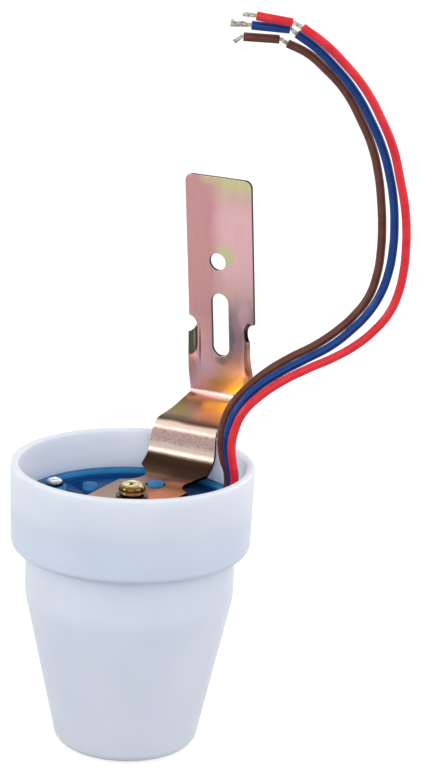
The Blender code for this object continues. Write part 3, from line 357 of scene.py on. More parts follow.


# Blue ABS comes out of a polished mould: a deep colour under a clear gloss, with the faint waviness of a thin
# moulding over about 6 mm. The dish's floor is painted a darker blue as shade. The raised rim and posts get
# a paler tint, painted light from the milky cup, most of all on their upright faces.
def blue_abs_moulded():
    material, tree, shader, place = new_finish("blue_abs_moulded")
    cloud = add_node(tree, "ShaderNodeTexNoise", {"Vector": place, "Scale": 1 / 0.006, "Detail": 3.0})
    tint = add_node(
        tree, "ShaderNodeValToRGB", {"Fac": cloud.outputs["Fac"]}, ((0.3, "#3794CE"), (0.7, "#41A0DA"))
    )
    # Painted light and shade: raised upright faces take the paler tint, and the floor and faces that look up
    # take the dark blue.
    height = add_node(tree, "ShaderNodeSeparateXYZ", {"Vector": place})
    raised = add_node(
        tree, "ShaderNodeMapRange",
        {"Value": height.outputs["Z"], "From Min": DISH + 0.0002, "From Max": DISH + 0.0014},
        interpolation_type='SMOOTHSTEP',
    )
    faces = add_node(tree, "ShaderNodeSeparateXYZ", {
        "Vector": add_node(tree, "ShaderNodeTexCoord", {}).outputs["Normal"],
    })
    upright = add_node(
        tree, "ShaderNodeMapRange",
        {"Value": faces.outputs["Z"], "From Min": 0.4, "From Max": 0.9, "To Min": 1.0, "To Max": 0.25},
    )
    lit = add_node(
        tree, "ShaderNodeMath", {0: raised.outputs["Result"], 1: upright.outputs["Result"]},
        operation='MULTIPLY',
    )
    depth = add_node(
        tree, "ShaderNodeMix",
        {0: lit.outputs["Value"], 6: linear("#00427F"), 7: tint.outputs["Color"]}, data_type='RGBA',
    )
    gloss = add_node(
        tree, "ShaderNodeMapRange",
        {"Value": cloud.outputs["Fac"], "From Min": 0.3, "From Max": 0.8, "To Min": 0.18, "To Max": 0.26},
    )
    skin = add_node(
        tree, "ShaderNodeBump", {"Height": cloud.outputs["Fac"], "Strength": 0.1, "Distance": 0.0002}
    )
    set_inputs(tree, shader, {
        "Base Color": depth.outputs[2], "Roughness": gloss.outputs["Result"], "IOR": 1.53,
        "Specular IOR Level": 0.15, "Normal": skin.outputs["Normal"],
    })
    return material


def cut(piece, cutter):
    """Cut a bmesh's shape out of a piece for good."""
    mesh = bpy.data.meshes.new("cutter")
    bmesh.ops.recalc_face_normals(cutter, faces=cutter.faces)
    cutter.to_mesh(mesh)
    cutter.free()
    tool = bpy.data.objects.new("cutter", mesh)
    bpy.context.collection.objects.link(tool)
    change = piece.modifiers.new("cut", 'BOOLEAN')
    change.operation = 'DIFFERENCE'
    change.use_self = True
    change.object = tool
    result = bpy.data.meshes.new_from_object(piece.evaluated_get(bpy.context.evaluated_depsgraph_get()))
    piece.modifiers.clear()
    piece.data = result
    bpy.data.objects.remove(tool)


bm = bmesh.new()
spin_profile(bm, (
    (0.0, LID_TOP, 0.0),
    (PAD_RADIUS, LID_TOP, EDGE),
    (PAD_RADIUS, DISH, EDGE),
    (LID_RADIUS - RIM_WALL, DISH, 0.0004),
    (LID_RADIUS - RIM_WALL, LID_TOP, EDGE),
    (LID_RADIUS, LID_TOP, EDGE),
    (LID_RADIUS, SKIRT_LOW, 0.0002),
    (LID_RADIUS - SKIRT_WALL, SKIRT_LOW, 0.0002),
    (LID_RADIUS - SKIRT_WALL, LID_FLOOR_UNDER, EDGE),
    (POCKET_RADIUS, LID_FLOOR_UNDER, 0.0002),
    (POCKET_RADIUS, LID_FLOOR_UNDER - POCKET_DEPTH, 0.0002),
    (0.0, LID_FLOOR_UNDER - POCKET_DEPTH, 0.0),
), 144)
posts = [(side * SCREW_SIDE, 0.0, BOSS_RADIUS, LID_TOP) for side in (-1, 1)]
posts += [(0.0, KEY_POST_Y, KEY_POST_RADIUS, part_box("lid")[1].z), (*FREE_POST, FREE_POST_RADIUS, LID_TOP)]
bores = [(side * SCREW_SIDE, 0.0, LID_SCREW_HOLE_RADIUS) for side in (-1, 1)]
bores += [(0.0, 0.0, BRACKET_SCREW_HOLE_RADIUS)]
for colour, root in LEAD_ROOTS.items():
    outlet = lead_place(colour, root, 0)
    posts.append((outlet.x, outlet.y, LEAD_HOLE_RADIUS + OUTLET_WALL, LID_TOP))
    bores.append((outlet.x, outlet.y, LEAD_HOLE_RADIUS))
for x, y, radius, top in posts:
    low = DISH - 0.0010
    corners = ((0.0, top, 0.0), (radius, top, EDGE), (radius, low, 0.0), (0.0, low, 0.0))
    spin_profile(bm, corners, 48, (x, y, 0))
for side in (-1, 1):
    top, low, radius = LID_FLOOR_UNDER + 0.0010, BOARD_TOP + BOARD_GAP, BOARD_PILLAR_RADIUS
    corners = ((0.0, top, 0.0), (radius, top, 0.0), (radius, low, 0.0002), (0.0, low, 0.0))
    spin_profile(bm, corners, 32, (0, side * BOARD_PILLAR_Y, 0))
lid = finished("lid_moulding", bm, blue_abs_moulded())
holes = bmesh.new()
for x, y, radius in bores:
    low, high = LID_FLOOR_UNDER - 0.0030, LID_TOP + 0.0010
    corners = ((0.0, low, 0.0), (radius, low, 0.0), (radius, high, 0.0), (0.0, high, 0.0))
    spin_profile(holes, corners, 32, (x, y, 0))
cut(lid, holes)
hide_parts("lid")


# Two small pan-head screws, bright nickel over steel, hold the lid down on the cup's ribs. Their heads are
# domed and have a cold-formed cross recess, whose floor is painted dark as shade.
HEAD_HEIGHT = 0.65
HEAD_DOME = 0.52
SEAT_ROUNDING = 0.05
RECESS_REACH = 0.64
RECESS_WIDTH = 0.17
RECESS_DEPTH = 0.42
RECESS_TAPER = 0.55
CUT_OVER = 0.0005
LID_SCREW_HEAD_RADIUS = 0.0025
LID_SCREW_SHANK_RADIUS = 0.0013


def cross_cutter(reach, width, top, depth, centre, turn):
    """A four-armed drive recess that narrows downward."""
    cutter = bmesh.new()
    arm = ((reach, -width), (reach, width), (width, width))
    outline = [Matrix.Rotation(quarter * pi / 2, 2) @ Vector(p) for quarter in range(4) for p in arm]
    face = cutter.faces.new([cutter.verts.new((p.x, p.y, top)) for p in outline])
    lowered = bmesh.ops.extrude_face_region(cutter, geom=[face])["geom"]
    floor = [v for v in lowered if isinstance(v, bmesh.types.BMVert)]
    bmesh.ops.translate(cutter, vec=(0, 0, -depth), verts=floor)
    bmesh.ops.scale(cutter, vec=(RECESS_TAPER, RECESS_TAPER, 1.0), verts=floor)
    aim = Matrix.Rotation(radians(turn), 3, 'Z')
    bmesh.ops.rotate(cutter, cent=(0, 0, 0), matrix=aim, verts=cutter.verts)
    bmesh.ops.translate(cutter, vec=centre, verts=cutter.verts)
    return cutter


def pan_screw(node, name, head_radius, shank_radius, finish, turn):
    """A pan-head screw on the place and height of its solid, in proportion to its head's radius."""
    low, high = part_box(node)
    centre = ((low.x + high.x) / 2, (low.y + high.y) / 2, 0)
    seat = high.z - HEAD_HEIGHT * head_radius
    bm = bmesh.new()
    spin_profile(bm, (
        (0.0, low.z, 0.0), (shank_radius, low.z, 0.0005), (shank_radius, seat, 0.0),
        (head_radius, seat, SEAT_ROUNDING * head_radius), (head_radius, high.z, HEAD_DOME * head_radius),
        (0.0, high.z, 0.0),
    ), 64, centre)
    screw = finished(name, bm, finish, 40)
    reach, width = RECESS_REACH * head_radius, RECESS_WIDTH * head_radius
    depth = CUT_OVER + RECESS_DEPTH * head_radius
    cut(screw, cross_cutter(reach, width, high.z + CUT_OVER, depth, centre, turn))
    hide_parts(node)
    return screw


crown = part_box("lid_screw_left")[1].z
# The nickel tints paint shade in the recess and on the head's shoulders, and a white highlight on the crown.
nickel = plated_steel(
    "bright_nickel_plated_steel", crown - 0.0016, crown,
    ((0.15, "#3A4248"), (0.6, "#6A7278"), (0.82, "#D0D4D6"), (0.92, "#FFFFFF")), 0.12,
)
for side, turn in (("left", 22), ("right", 64)):
    screw = pan_screw(
        "lid_screw_" + side, "nickel_screw_" + side, LID_SCREW_HEAD_RADIUS, LID_SCREW_SHANK_RADIUS,
        nickel, turn,
    )


# The bracket is one pressed strip of 1.1 mm steel. The blank has a waist, two holes in its base, a round
# hole and a slot above, and a notch in each side. It is folded four times. Its sides are turned up as lips
# below the notches, and that dishes the crease under them.
SHEET = 0.0011
BASE_FRONT_Y = -0.0130
BASE_UNDER = LID_TOP + 0.0001
BASE_HALF = 0.0110
STRIP_HALF = 0.0107
LEGS = ((0.03443, 0.0), (0.0080, 33.6), (0.0096, 81.5), (0.0237, 5.3), (0.0685, 97.2))
BENDS = (0.0050, 0.0050, 0.0030, 0.0026)
BASE_CORNER = 0.0040
TOP_CORNER = 0.0022
WAIST_Y = 0.0182
WAIST_RADIUS = 0.0069
WAIST_DEPTH = 0.0041
WAIST_ARC = (246.06, 116.7)
SCREW_HOLE_RADIUS = 0.0023
POST_HOLE_RADIUS = 0.0028
HOLE_X = -0.0008
HOLE_BELOW_TOP = 0.0256
HOLE_RADIUS = 0.0026
SLOT_X = -0.0004
SLOT_BELOW_TOP = 0.0353
SLOT_LENGTH = 0.0194
SLOT_RADIUS = 0.00275
NOTCH_BELOW_TOP = 0.0457
NOTCH_RADIUS = 0.0023
NECK_HALF = 0.0100
NECK_SHIFT = 0.0003
LIP_HALF = 0.0109
LIP_LINE = 0.0074
LIP_SHIFT = -0.0004
LIP_ANGLE = 46.0
LIP_BEND = 0.0012
LIP_RISE = 0.0150
CREASE_DISH = 0.0013


def left_of(heading):
    """The unit vector to the left of a heading."""
    return Vector((-sin(heading), cos(heading)))


def follow_strip():
    """Straight and bent lengths of the strip's middle surface: each one's start, place, heading and curve."""
    point = Vector((BASE_FRONT_Y, BASE_UNDER + SHEET / 2))
    along = 0.0
    lengths = []
    for index, (length, angle) in enumerate(LEGS):
        heading = radians(angle)
        corners = [k for k in (index - 1, index) if 0 <= k < len(BENDS)]
        for k in corners:
            length -= BENDS[k] * tan(abs(radians(LEGS[k + 1][1] - LEGS[k][1])) / 2)
        lengths.append((along, point.copy(), heading, 0.0))
        along += length
        point += length * Vector((cos(heading), sin(heading)))
        if index < len(BENDS):
            turn = radians(LEGS[index + 1][1]) - heading
            curve = turn / abs(turn) / BENDS[index]
            lengths.append((along, point.copy(), heading, curve))
            along += BENDS[index] * abs(turn)
            point += (left_of(heading) - left_of(heading + turn)) / curve
    return lengths, along


strip_lengths, STRIP_END = follow_strip()
STEEP, RUN, CREASE, UPRIGHT = (strip_lengths[index][0] for index in (4, 6, 7, 8))
NOTCH = STRIP_END - NOTCH_BELOW_TOP


def strip_place(along):
    """Point and heading of the strip's middle surface at a developed length."""
    start, point, heading, curve = [piece for piece in strip_lengths if piece[0] <= max(along, 0.0)][-1]
    if curve == 0.0:
        return point + (along - start) * Vector((cos(heading), sin(heading))), heading
    bent = heading + (along - start) * curve
    return point + (left_of(heading) - left_of(bent)) / curve, bent


def ease(value, low, high):
    """A smooth rise from 0 at low to 1 at high."""
    share = min(1.0, max(0.0, (value - low) / (high - low)))
    return share * share * (3 - 2 * share)


def side_edge(along, side):
    """Where the blank's side lies above the waist: it narrows up the steep leg and widens to the notch."""
    narrowing = ease(along, STEEP, RUN)
    widening = ease(along, RUN + 0.0080, NOTCH - 0.0060)
    width = STRIP_HALF + narrowing * (NECK_HALF - STRIP_HALF) + widening * (LIP_HALF - NECK_HALF)
    return side * width + NECK_SHIFT * narrowing * (1 - widening)


def fold(vert):
    """Move a vertex of the flat blank, whose Y is the developed length and Z the thickness, to its place."""
    x, along, thick = vert.co
    past_notch = ease(along, NOTCH - 0.5 * NOTCH_RADIUS, NOTCH + 0.9 * NOTCH_RADIUS)
    angle = radians(LIP_ANGLE) * ease(along, UPRIGHT, UPRIGHT + LIP_RISE) * (1 - past_notch)
    dish = CREASE_DISH * ease(along, RUN + 0.0040, CREASE + 0.0010) * (1 - ease(along, UPRIGHT, NOTCH))
    offset = x - LIP_SHIFT
    over = max(0.0, abs(offset) - LIP_LINE)
    turned = min(angle, over / LIP_BEND)
    rest = over - turned * LIP_BEND
    across = min(abs(offset), LIP_LINE) + LIP_BEND * sin(turned) + rest * cos(turned) - thick * sin(turned)
    lift = LIP_BEND * (1 - cos(turned)) + rest * sin(turned) + thick * cos(turned)
    lift += dish * (x / STRIP_HALF) ** 2
    point, heading = strip_place(along)
    point = point + lift * left_of(heading)
    vert.co = (LIP_SHIFT + (across if offset > 0 else -across), point.x, point.y)


def arc(centre, radius, start, end, steps):
    """Points of an arc on the flat blank, angles in degrees."""
    angles = (radians(start + (end - start) * step / steps) for step in range(steps + 1))
    return [(centre[0] + radius * cos(a), centre[1] + radius * sin(a)) for a in angles]


def blank_side(side):
    """One side of the blank from front to top: rounded base, waist, neck, notch and rounded corner."""
    half = arc((BASE_HALF - BASE_CORNER, BASE_CORNER), BASE_CORNER, -90, 0, 12)
    waist = (BASE_HALF - WAIST_DEPTH + WAIST_RADIUS, WAIST_Y - BASE_FRONT_Y)
    half += arc(waist, WAIST_RADIUS, *WAIST_ARC, 22)
    half += [(side * side_edge(along, side), along) for along in (
        STEEP + (NOTCH - NOTCH_RADIUS - STEEP) * step / 40 for step in range(41)
    )]
    half += arc((STRIP_HALF, NOTCH), NOTCH_RADIUS, 270, 90, 20)[1:]
    half += arc((STRIP_HALF - TOP_CORNER, STRIP_END - TOP_CORNER), TOP_CORNER, 0, 90, 10)
    return [(side * x, along) for x, along in half]


def slot_outline(x, low, high, radius):
    """A round-ended slot between two developed lengths."""
    return arc((x, high - radius), radius, 0, 180, 14) + arc((x, low + radius), radius, 180, 360, 14)


def score(bm, place, normal, low=-1.0, high=1.0):
    """Cut the blank's faces across or along, between two developed lengths."""
    faces = [f for f in bm.faces if any(low < v.co.y < high for v in f.verts)]
    edges = list(dict.fromkeys(e for f in faces for e in f.edges))
    geom = faces + edges + list(dict.fromkeys(v for f in faces for v in f.verts))
    bmesh.ops.bisect_plane(bm, geom=geom, dist=1e-7, plane_co=place, plane_no=normal)


bm = bmesh.new()
slot_high = STRIP_END - SLOT_BELOW_TOP
outlines = [
    blank_side(1) + blank_side(-1)[::-1],
    slot_outline(SLOT_X, slot_high - SLOT_LENGTH, slot_high, SLOT_RADIUS),
]
for x, along, radius in (
    (0.0, -BASE_FRONT_Y, SCREW_HOLE_RADIUS),
    (0.0, KEY_POST_Y - BASE_FRONT_Y, POST_HOLE_RADIUS),
    (HOLE_X, STRIP_END - HOLE_BELOW_TOP, HOLE_RADIUS),
):
    outlines.append(arc((x, along), radius, 0, 350, 35))
rims = []
for outline in outlines:
    verts = [bm.verts.new((x, along, -SHEET / 2)) for x, along in outline]
    rims += [bm.edges.new(pair) for pair in zip(verts, verts[1:] + verts[:1])]
bmesh.ops.triangle_fill(bm, edges=rims, use_beauty=True, use_dissolve=False, normal=(0, 0, 1))
raised = bmesh.ops.extrude_face_region(bm, geom=bm.faces[:])["geom"]
bmesh.ops.translate(bm, vec=(0, 0, SHEET), verts=[v for v in raised if isinstance(v, bmesh.types.BMVert)])
bmesh.ops.recalc_face_normals(bm, faces=bm.faces)
sheared = [e for e in bm.edges if e.calc_face_angle(0.0) > radians(60)]
bmesh.ops.bevel(
    bm, geom=sheared, offset=0.00012, offset_type='OFFSET', segments=2, profile=0.5, affect='EDGES',
    material=-1,
)
for (start, _, _, curve), end in zip(strip_lengths, [piece[0] for piece in strip_lengths[1:]] + [STRIP_END]):
    steps = max(4, ceil(degrees((end - start) * abs(curve)) / 5)) if curve else ceil((end - start) / 0.0012)
    for step in range(start == 0.0, steps):
        score(bm, (0, start + (end - start) * step / steps, 0), (0, 1, 0))
for step in range(9):
    line = LIP_LINE + step / 8 * LIP_BEND * radians(LIP_ANGLE)
    for side in (-1, 1):
        score(bm, (LIP_SHIFT + side * line, 0, 0), (1, 0, 0), RUN, NOTCH + 0.0030)
for step in range(-4, 5):
    score(bm, (LIP_SHIFT + step / 5 * LIP_LINE, 0, 0), (1, 0, 0), RUN, NOTCH)
bmesh.ops.triangulate(bm, faces=bm.faces)
flat = bm.loops.layers.uv.new("blank")
cut_edge = bm.faces.layers.float.new("cut_edge")
for face in bm.faces:
    x, along, _ = face.calc_center_median()
    on_lip = x > LIP_HALF - 0.0012 and UPRIGHT < along < NOTCH - NOTCH_RADIUS
    face[cut_edge] = float(abs(face.normal.z) < 0.9 and not on_lip)
    for loop in face.loops:
        loop[flat].uv = (loop.vert.co.x, loop.vert.co.y)
for vert in bm.verts:
    fold(vert)


# Yellow passivated zinc on pressed steel. The clear film over the zinc is a fraction of a micron thick, and
# its thickness sets its tint. It is rose on the flat, straw where it ran thin and amber where it pooled at
# the crease. Light and shade are painted into it as well: the pale cream bands on the bends and along the
# crease are painted highlights, and the dark browns on the ramp and on the bend above the steep leg are
# painted reflections of dark surroundings. The bright rose at the foot of the upright's left side is painted
# light, a dark patch at the crease's left end is painted shade in the fold, and the lips carry painted
# highlights and shade along their folds. The steep leg is finely pitted, faint drawn lines run up the strip,
# and the sheared edges are dark. The stops and the patches are in millimetres on the flat blank: a stop is a
# developed length and its tint, and a patch is its place, its reach each way, its core, its strength and its
# tint.
ROSE, DEEP_ROSE, PALE_ROSE, LIT_ROSE = "#BB8A8A", "#BE8590", "#D2A7AA", "#FFC6C6"
MAUVE, DEEP_MAUVE, DUSK, DUSTY, LILAC = "#A98C8E", "#877375", "#D9A29C", "#C6A39C", "#D2B6DA"
HIGHLIGHT_CREAM, PINK_CREAM, APRICOT, PEACH, CORAL = "#F6DCCB", "#D0AFA4", "#FFBF9A", "#CE9582", "#E29A80"
STRAW, AMBER, GOLD, DULL_GOLD = "#BCB68A", "#E2B328", "#F8BE6E", "#CC9C52"
OCHRE, KHAKI, OLIVE = "#A6834A", "#8E733C", "#735A28"
TAN, COPPER, CHESTNUT, SHADE_BROWN, REFLECTED_UMBER, REFLECTED_DARK = "#A88A74", "#BC7A48", "#8C5230", "#5C4030", "#443027", "#37251B"
SHEARED, BLUED, DRAWN = "#241B14", "#5C6A7A", "#DCD2CC"
# Painted light in the stops: the cream bands near 44, 51.5 and 74 mm are painted highlights, and the dark
# browns from 35 to 42 and 52 to 55 mm are painted reflections.
LEFT_STOPS = (
    (24, TAN), (31, "#B8937C"), (33, "#A8866C"), (35, SHADE_BROWN), (37.4, REFLECTED_UMBER), (39, REFLECTED_DARK), (41.9, REFLECTED_UMBER),
    (43.7, HIGHLIGHT_CREAM), (45.2, HIGHLIGHT_CREAM), (46.8, PINK_CREAM), (49.4, PINK_CREAM), (51.5, HIGHLIGHT_CREAM), (52.3, SHADE_BROWN),
    (53.4, REFLECTED_UMBER), (54.6, SHADE_BROWN), (57, KHAKI), (62, KHAKI), (67, OLIVE), (70, OCHRE), (71.8, DUSK),
    (73.2, HIGHLIGHT_CREAM), (74.8, HIGHLIGHT_CREAM), (75.6, DUSK), (77.2, LIT_ROSE), (84.5, LIT_ROSE), (91, DUSK),
    (100, ROSE),
)
RIGHT_STOPS = (
    (22, COPPER), (26.5, CHESTNUT), (30.5, CORAL), (33, "#A0624A"), (35, REFLECTED_UMBER), (39, REFLECTED_DARK), (41.9, REFLECTED_UMBER),
    (43.7, HIGHLIGHT_CREAM), (45.2, HIGHLIGHT_CREAM), (46.8, PINK_CREAM), (49.4, PINK_CREAM), (51.5, HIGHLIGHT_CREAM), (52.3, SHADE_BROWN),
    (53.6, SHADE_BROWN), (56.5, OCHRE), (61, DULL_GOLD), (65, AMBER), (70, AMBER), (72.0, DULL_GOLD),
    (73.1, HIGHLIGHT_CREAM), (74.8, HIGHLIGHT_CREAM), (76.4, GOLD), (80, GOLD), (83, APRICOT), (87.5, PEACH), (92, MAUVE),
    (101, MAUVE), (107, DUSTY), (113, PALE_ROSE), (131, PALE_ROSE), (136.5, DUSTY), (140.3, STRAW),
)
# The dark patch at (-9.2, 71) is painted shade in the fold at the crease's left end.
FILM_TINT_AND_SHADE_PATCHES = (
    ((-1, 20), (5.5, 6), 0.3, 0.8, CHESTNUT), ((0, 30.5), (3.6, 2.6), 0.4, 0.7, BLUED),
    ((-0.8, 67.5), (4.6, 4.6), 0.3, 1.0, AMBER), ((-9.2, 71), (2.4, 2.2), 0.3, 0.8, SHADE_BROWN),
    ((-1.5, 78.2), (4.6, 3.0), 0.2, 0.8, GOLD), ((-9.4, 81), (2.6, 6), 0.4, 0.9, LILAC),
    ((0.5, 86), (2.6, 1.8), 0.3, 0.6, DEEP_MAUVE), ((2.8, 95), (2.0, 11), 0.2, 0.9, DEEP_MAUVE),
    ((7.6, 101), (3.0, 7), 0.3, 0.8, PALE_ROSE), ((1.8, 118.6), (4.2, 4.6), 0.45, 0.95, STRAW),
    ((-3.2, 131), (2.2, 8), 0.3, 0.8, DEEP_ROSE), ((-3, 141.6), (4.5, 3.0), 0.3, 0.6, STRAW),
    ((8.5, 110), (3, 6), 0.3, 0.5, PALE_ROSE),
)
# Painted light on the lips: the dark faces and lines are painted shade and reflections, and the cream lines
# are painted highlights along the folds and the right lip's edge.
LIP_SHADE_AND_HIGHLIGHTS = (
    ((-10.2, 92.4), (2.6, 5.8), 0.85, 0.95, "#45463A"), ((-9.4, 92.4), (0.35, 5.0), 0.3, 0.8, "#8A8272"),
    ((-7.2, 90), (0.4, 8), 0.3, 0.9, "#5E3C30"), ((-7.9, 92), (0.4, 6), 0.3, 0.6, HIGHLIGHT_CREAM),
    ((-8.6, 92), (0.4, 6.5), 0.3, 0.8, "#4A3428"), ((10.2, 88), (2.6, 7), 0.7, 0.9, "#8E5E46"),
    ((9.0, 96.2), (1.8, 3.2), 0.7, 0.95, "#4A2C24"), ((9.4, 84.6), (2.0, 1.8), 0.4, 0.8, "#7A4226"),
    ((11.6, 89), (0.8, 9), 0.6, 0.7, HIGHLIGHT_CREAM),
)
PITTED_MIDDLE = 0.0480
PITTED_REACH = 0.0024


def yellow_passivated_zinc_pressed():
    material, tree, shader, place = new_finish("yellow_passivated_zinc_pressed")
    blank = add_node(tree, "ShaderNodeUVMap", {}, uv_map="blank").outputs["UV"]
    cloud = add_node(tree, "ShaderNodeTexNoise", {"Vector": place, "Scale": 1 / 0.008, "Detail": 2.0})
    swing = add_node(tree, "ShaderNodeMath", {0: cloud.outputs["Fac"], 1: 0.5}, operation='SUBTRACT')
    drift = add_node(
        tree, "ShaderNodeVectorMath", {0: (0.004, 0.0012, 0.0), 3: swing.outputs["Value"]}, operation='SCALE'
    )
    clouded = add_node(
        tree, "ShaderNodeVectorMath", {0: blank, 1: drift.outputs["Vector"]}, operation='ADD'
    ).outputs["Vector"]
    spot = add_node(tree, "ShaderNodeSeparateXYZ", {"Vector": clouded})
    along = add_node(tree, "ShaderNodeMath", {0: spot.outputs["Y"], 1: STRIP_END}, operation='DIVIDE')
    left, right = (
        add_node(
            tree, "ShaderNodeValToRGB", {"Fac": along.outputs["Value"]},
            [(length / 1000 / STRIP_END, colour) for length, colour in stops],
        ).outputs["Color"] for stops in (LEFT_STOPS, RIGHT_STOPS)
    )
    across = add_node(
        tree, "ShaderNodeMapRange", {"Value": spot.outputs["X"], "From Min": -0.0040, "From Max": 0.0025},
        interpolation_type='SMOOTHSTEP',
    )
    tint = add_node(
        tree, "ShaderNodeMix", {0: across.outputs["Result"], 6: left, 7: right}, data_type='RGBA'
    ).outputs[2]
    for position, patches in ((clouded, FILM_TINT_AND_SHADE_PATCHES), (blank, LIP_SHADE_AND_HIGHLIGHTS)):
        for centre, reach, core, strength, colour in patches:
            away = add_node(
                tree, "ShaderNodeVectorMath",
                {0: position, 1: (1000 / reach[0], 1000 / reach[1], 0.0),
                 2: (-centre[0] / reach[0], -centre[1] / reach[1], 0.0)},
                operation='MULTIPLY_ADD',
            )
            far = add_node(tree, "ShaderNodeVectorMath", {0: away.outputs["Vector"]}, operation='LENGTH')
            share = add_node(
                tree, "ShaderNodeMapRange",
                {"Value": far.outputs["Value"], "From Min": 1.0, "From Max": core, "To Max": strength},
                interpolation_type='SMOOTHSTEP',
            )
            tint = add_node(
                tree, "ShaderNodeMix", {0: share.outputs["Result"], 6: tint, 7: linear(colour)},
                data_type='RGBA',
            ).outputs[2]
    grain = add_node(tree, "ShaderNodeTexNoise", {"Vector": place, "Scale": 1 / 0.0004, "Detail": 2.0})
    rubbed = add_node(
        tree, "ShaderNodeMath", {0: spot.outputs["Y"], 1: PITTED_MIDDLE, 2: PITTED_REACH}, operation='COMPARE'
    )
    most = add_node(tree, "ShaderNodeMapRange", {"Value": rubbed.outputs["Value"], "To Max": 0.55})
    pitted = add_node(
        tree, "ShaderNodeMapRange",
        {"Value": grain.outputs["Fac"], "From Min": 0.48, "From Max": 0.62,
         "To Max": most.outputs["Result"]},
    )
    tint = add_node(
        tree, "ShaderNodeMix", {0: pitted.outputs["Result"], 6: tint, 7: linear(DEEP_MAUVE)}, data_type='RGBA'
    ).outputs[2]
    drawn = add_node(
        tree, "ShaderNodeMapping", {"Vector": blank, "Scale": (1 / 0.0005, 1 / 0.012, 1.0)}
    )
    lines = add_node(
        tree, "ShaderNodeTexNoise", {"Vector": drawn.outputs["Vector"], "Scale": 1.0, "Detail": 2.0}
    )
    streaks = add_node(
        tree, "ShaderNodeMapRange",
        {"Value": lines.outputs["Fac"], "From Min": 0.35, "From Max": 0.7, "To Max": 0.2},
    )
    tint = add_node(
        tree, "ShaderNodeMix", {0: streaks.outputs["Result"], 6: tint, 7: linear(DRAWN)},
        data_type='RGBA', blend_type='MULTIPLY',
    ).outputs[2]
    sides = add_node(tree, "ShaderNodeAttribute", {}, attribute_name="cut_edge")
    tint = add_node(
        tree, "ShaderNodeMix", {0: sides.outputs["Fac"], 6: tint, 7: linear(SHEARED)}, data_type='RGBA'
    ).outputs[2]
    dull = add_node(
        tree, "ShaderNodeMapRange",
        {"Value": grain.outputs["Fac"], "From Min": 0.3, "From Max": 0.7, "To Min": 0.28, "To Max": 0.36},
    )
    skin = add_node(
        tree, "ShaderNodeBump", {"Height": grain.outputs["Fac"], "Strength": 0.05, "Distance": 0.00004}
    )
    set_inputs(tree, shader, {
        "Base Color": tint, "Metallic": 1.0, "Roughness": dull.outputs["Result"],
        "Normal": skin.outputs["Normal"],
    })
    return material


bracket = finished("bracket_pressing", bm, yellow_passivated_zinc_pressed(), 20)
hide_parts("bracket")


# One M4 pan-head screw holds the bracket to a nut in the lid, over a split spring washer and a flat one. All
# three are plated bright yellow.
BRACKET_SCREW_HEAD_RADIUS = 0.0038
BRACKET_SCREW_SHANK_RADIUS = 0.0019
WASHER_BORE = 0.0023
SPRING_WASHER_RADIUS = 0.0035
SPRING_WASHER_THICK = 0.0008
SPRING_WASHER_RISE = 0.0001
SPRING_WASHER_TURN = 346
SPRING_WASHER_STEPS = 72
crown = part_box("bracket_screw")[1].z
# The tints paint shade under the head and in its recess, a highlight round the seat and one on the crown.
brassed = plated_steel(
    "bright_yellow_plated_steel", crown - 0.0030, crown,
    ((0.18, "#2E210E"), (0.3, "#E6D6A4"), (0.48, "#4A3616"), (0.8, "#7E6632"), (0.94, "#F6EAC4")), 0.12,
)
screw = pan_screw(
    "bracket_screw", "bracket_pan_screw", BRACKET_SCREW_HEAD_RADIUS, BRACKET_SCREW_SHANK_RADIUS, brassed, 22
)

low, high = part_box("flat_washer")
bm = bmesh.new()
spin_profile(bm, (
    (WASHER_BORE, low.z, 0.00005), (high.x, low.z, 0.0001), (high.x, high.z, 0.00015),
    (WASHER_BORE, high.z, 0.0001),
), 96, closed=True)
flat_washer = finished("flat_washer_ring", bm, brassed)
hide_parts("flat_washer")

low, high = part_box("spring_washer")
bm = bmesh.new()
top = low.z + SPRING_WASHER_THICK
section = [bm.verts.new((radius, 0, height)) for radius, height in (
    (WASHER_BORE, low.z), (SPRING_WASHER_RADIUS, low.z), (SPRING_WASHER_RADIUS, top), (WASHER_BORE, top),
)]
edges = [bm.edges.new(pair) for pair in zip(section, section[1:] + section[:1])]
bmesh.ops.spin(
    bm, geom=section + edges, cent=(0, 0, 0), axis=(0, 0, 1),
    dvec=(0, 0, SPRING_WASHER_RISE / SPRING_WASHER_STEPS), angle=radians(SPRING_WASHER_TURN),
    steps=SPRING_WASHER_STEPS,
)
bmesh.ops.holes_fill(bm, edges=[e for e in bm.edges if e.is_boundary], sides=4)
bmesh.ops.recalc_face_normals(bm, faces=bm.faces)
bmesh.ops.rotate(bm, cent=(0, 0, 0), matrix=Matrix.Rotation(radians(70), 3, 'Z'), verts=bm.verts)
spring_washer = finished("spring_washer_coil", bm, brassed)
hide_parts("spring_washer")


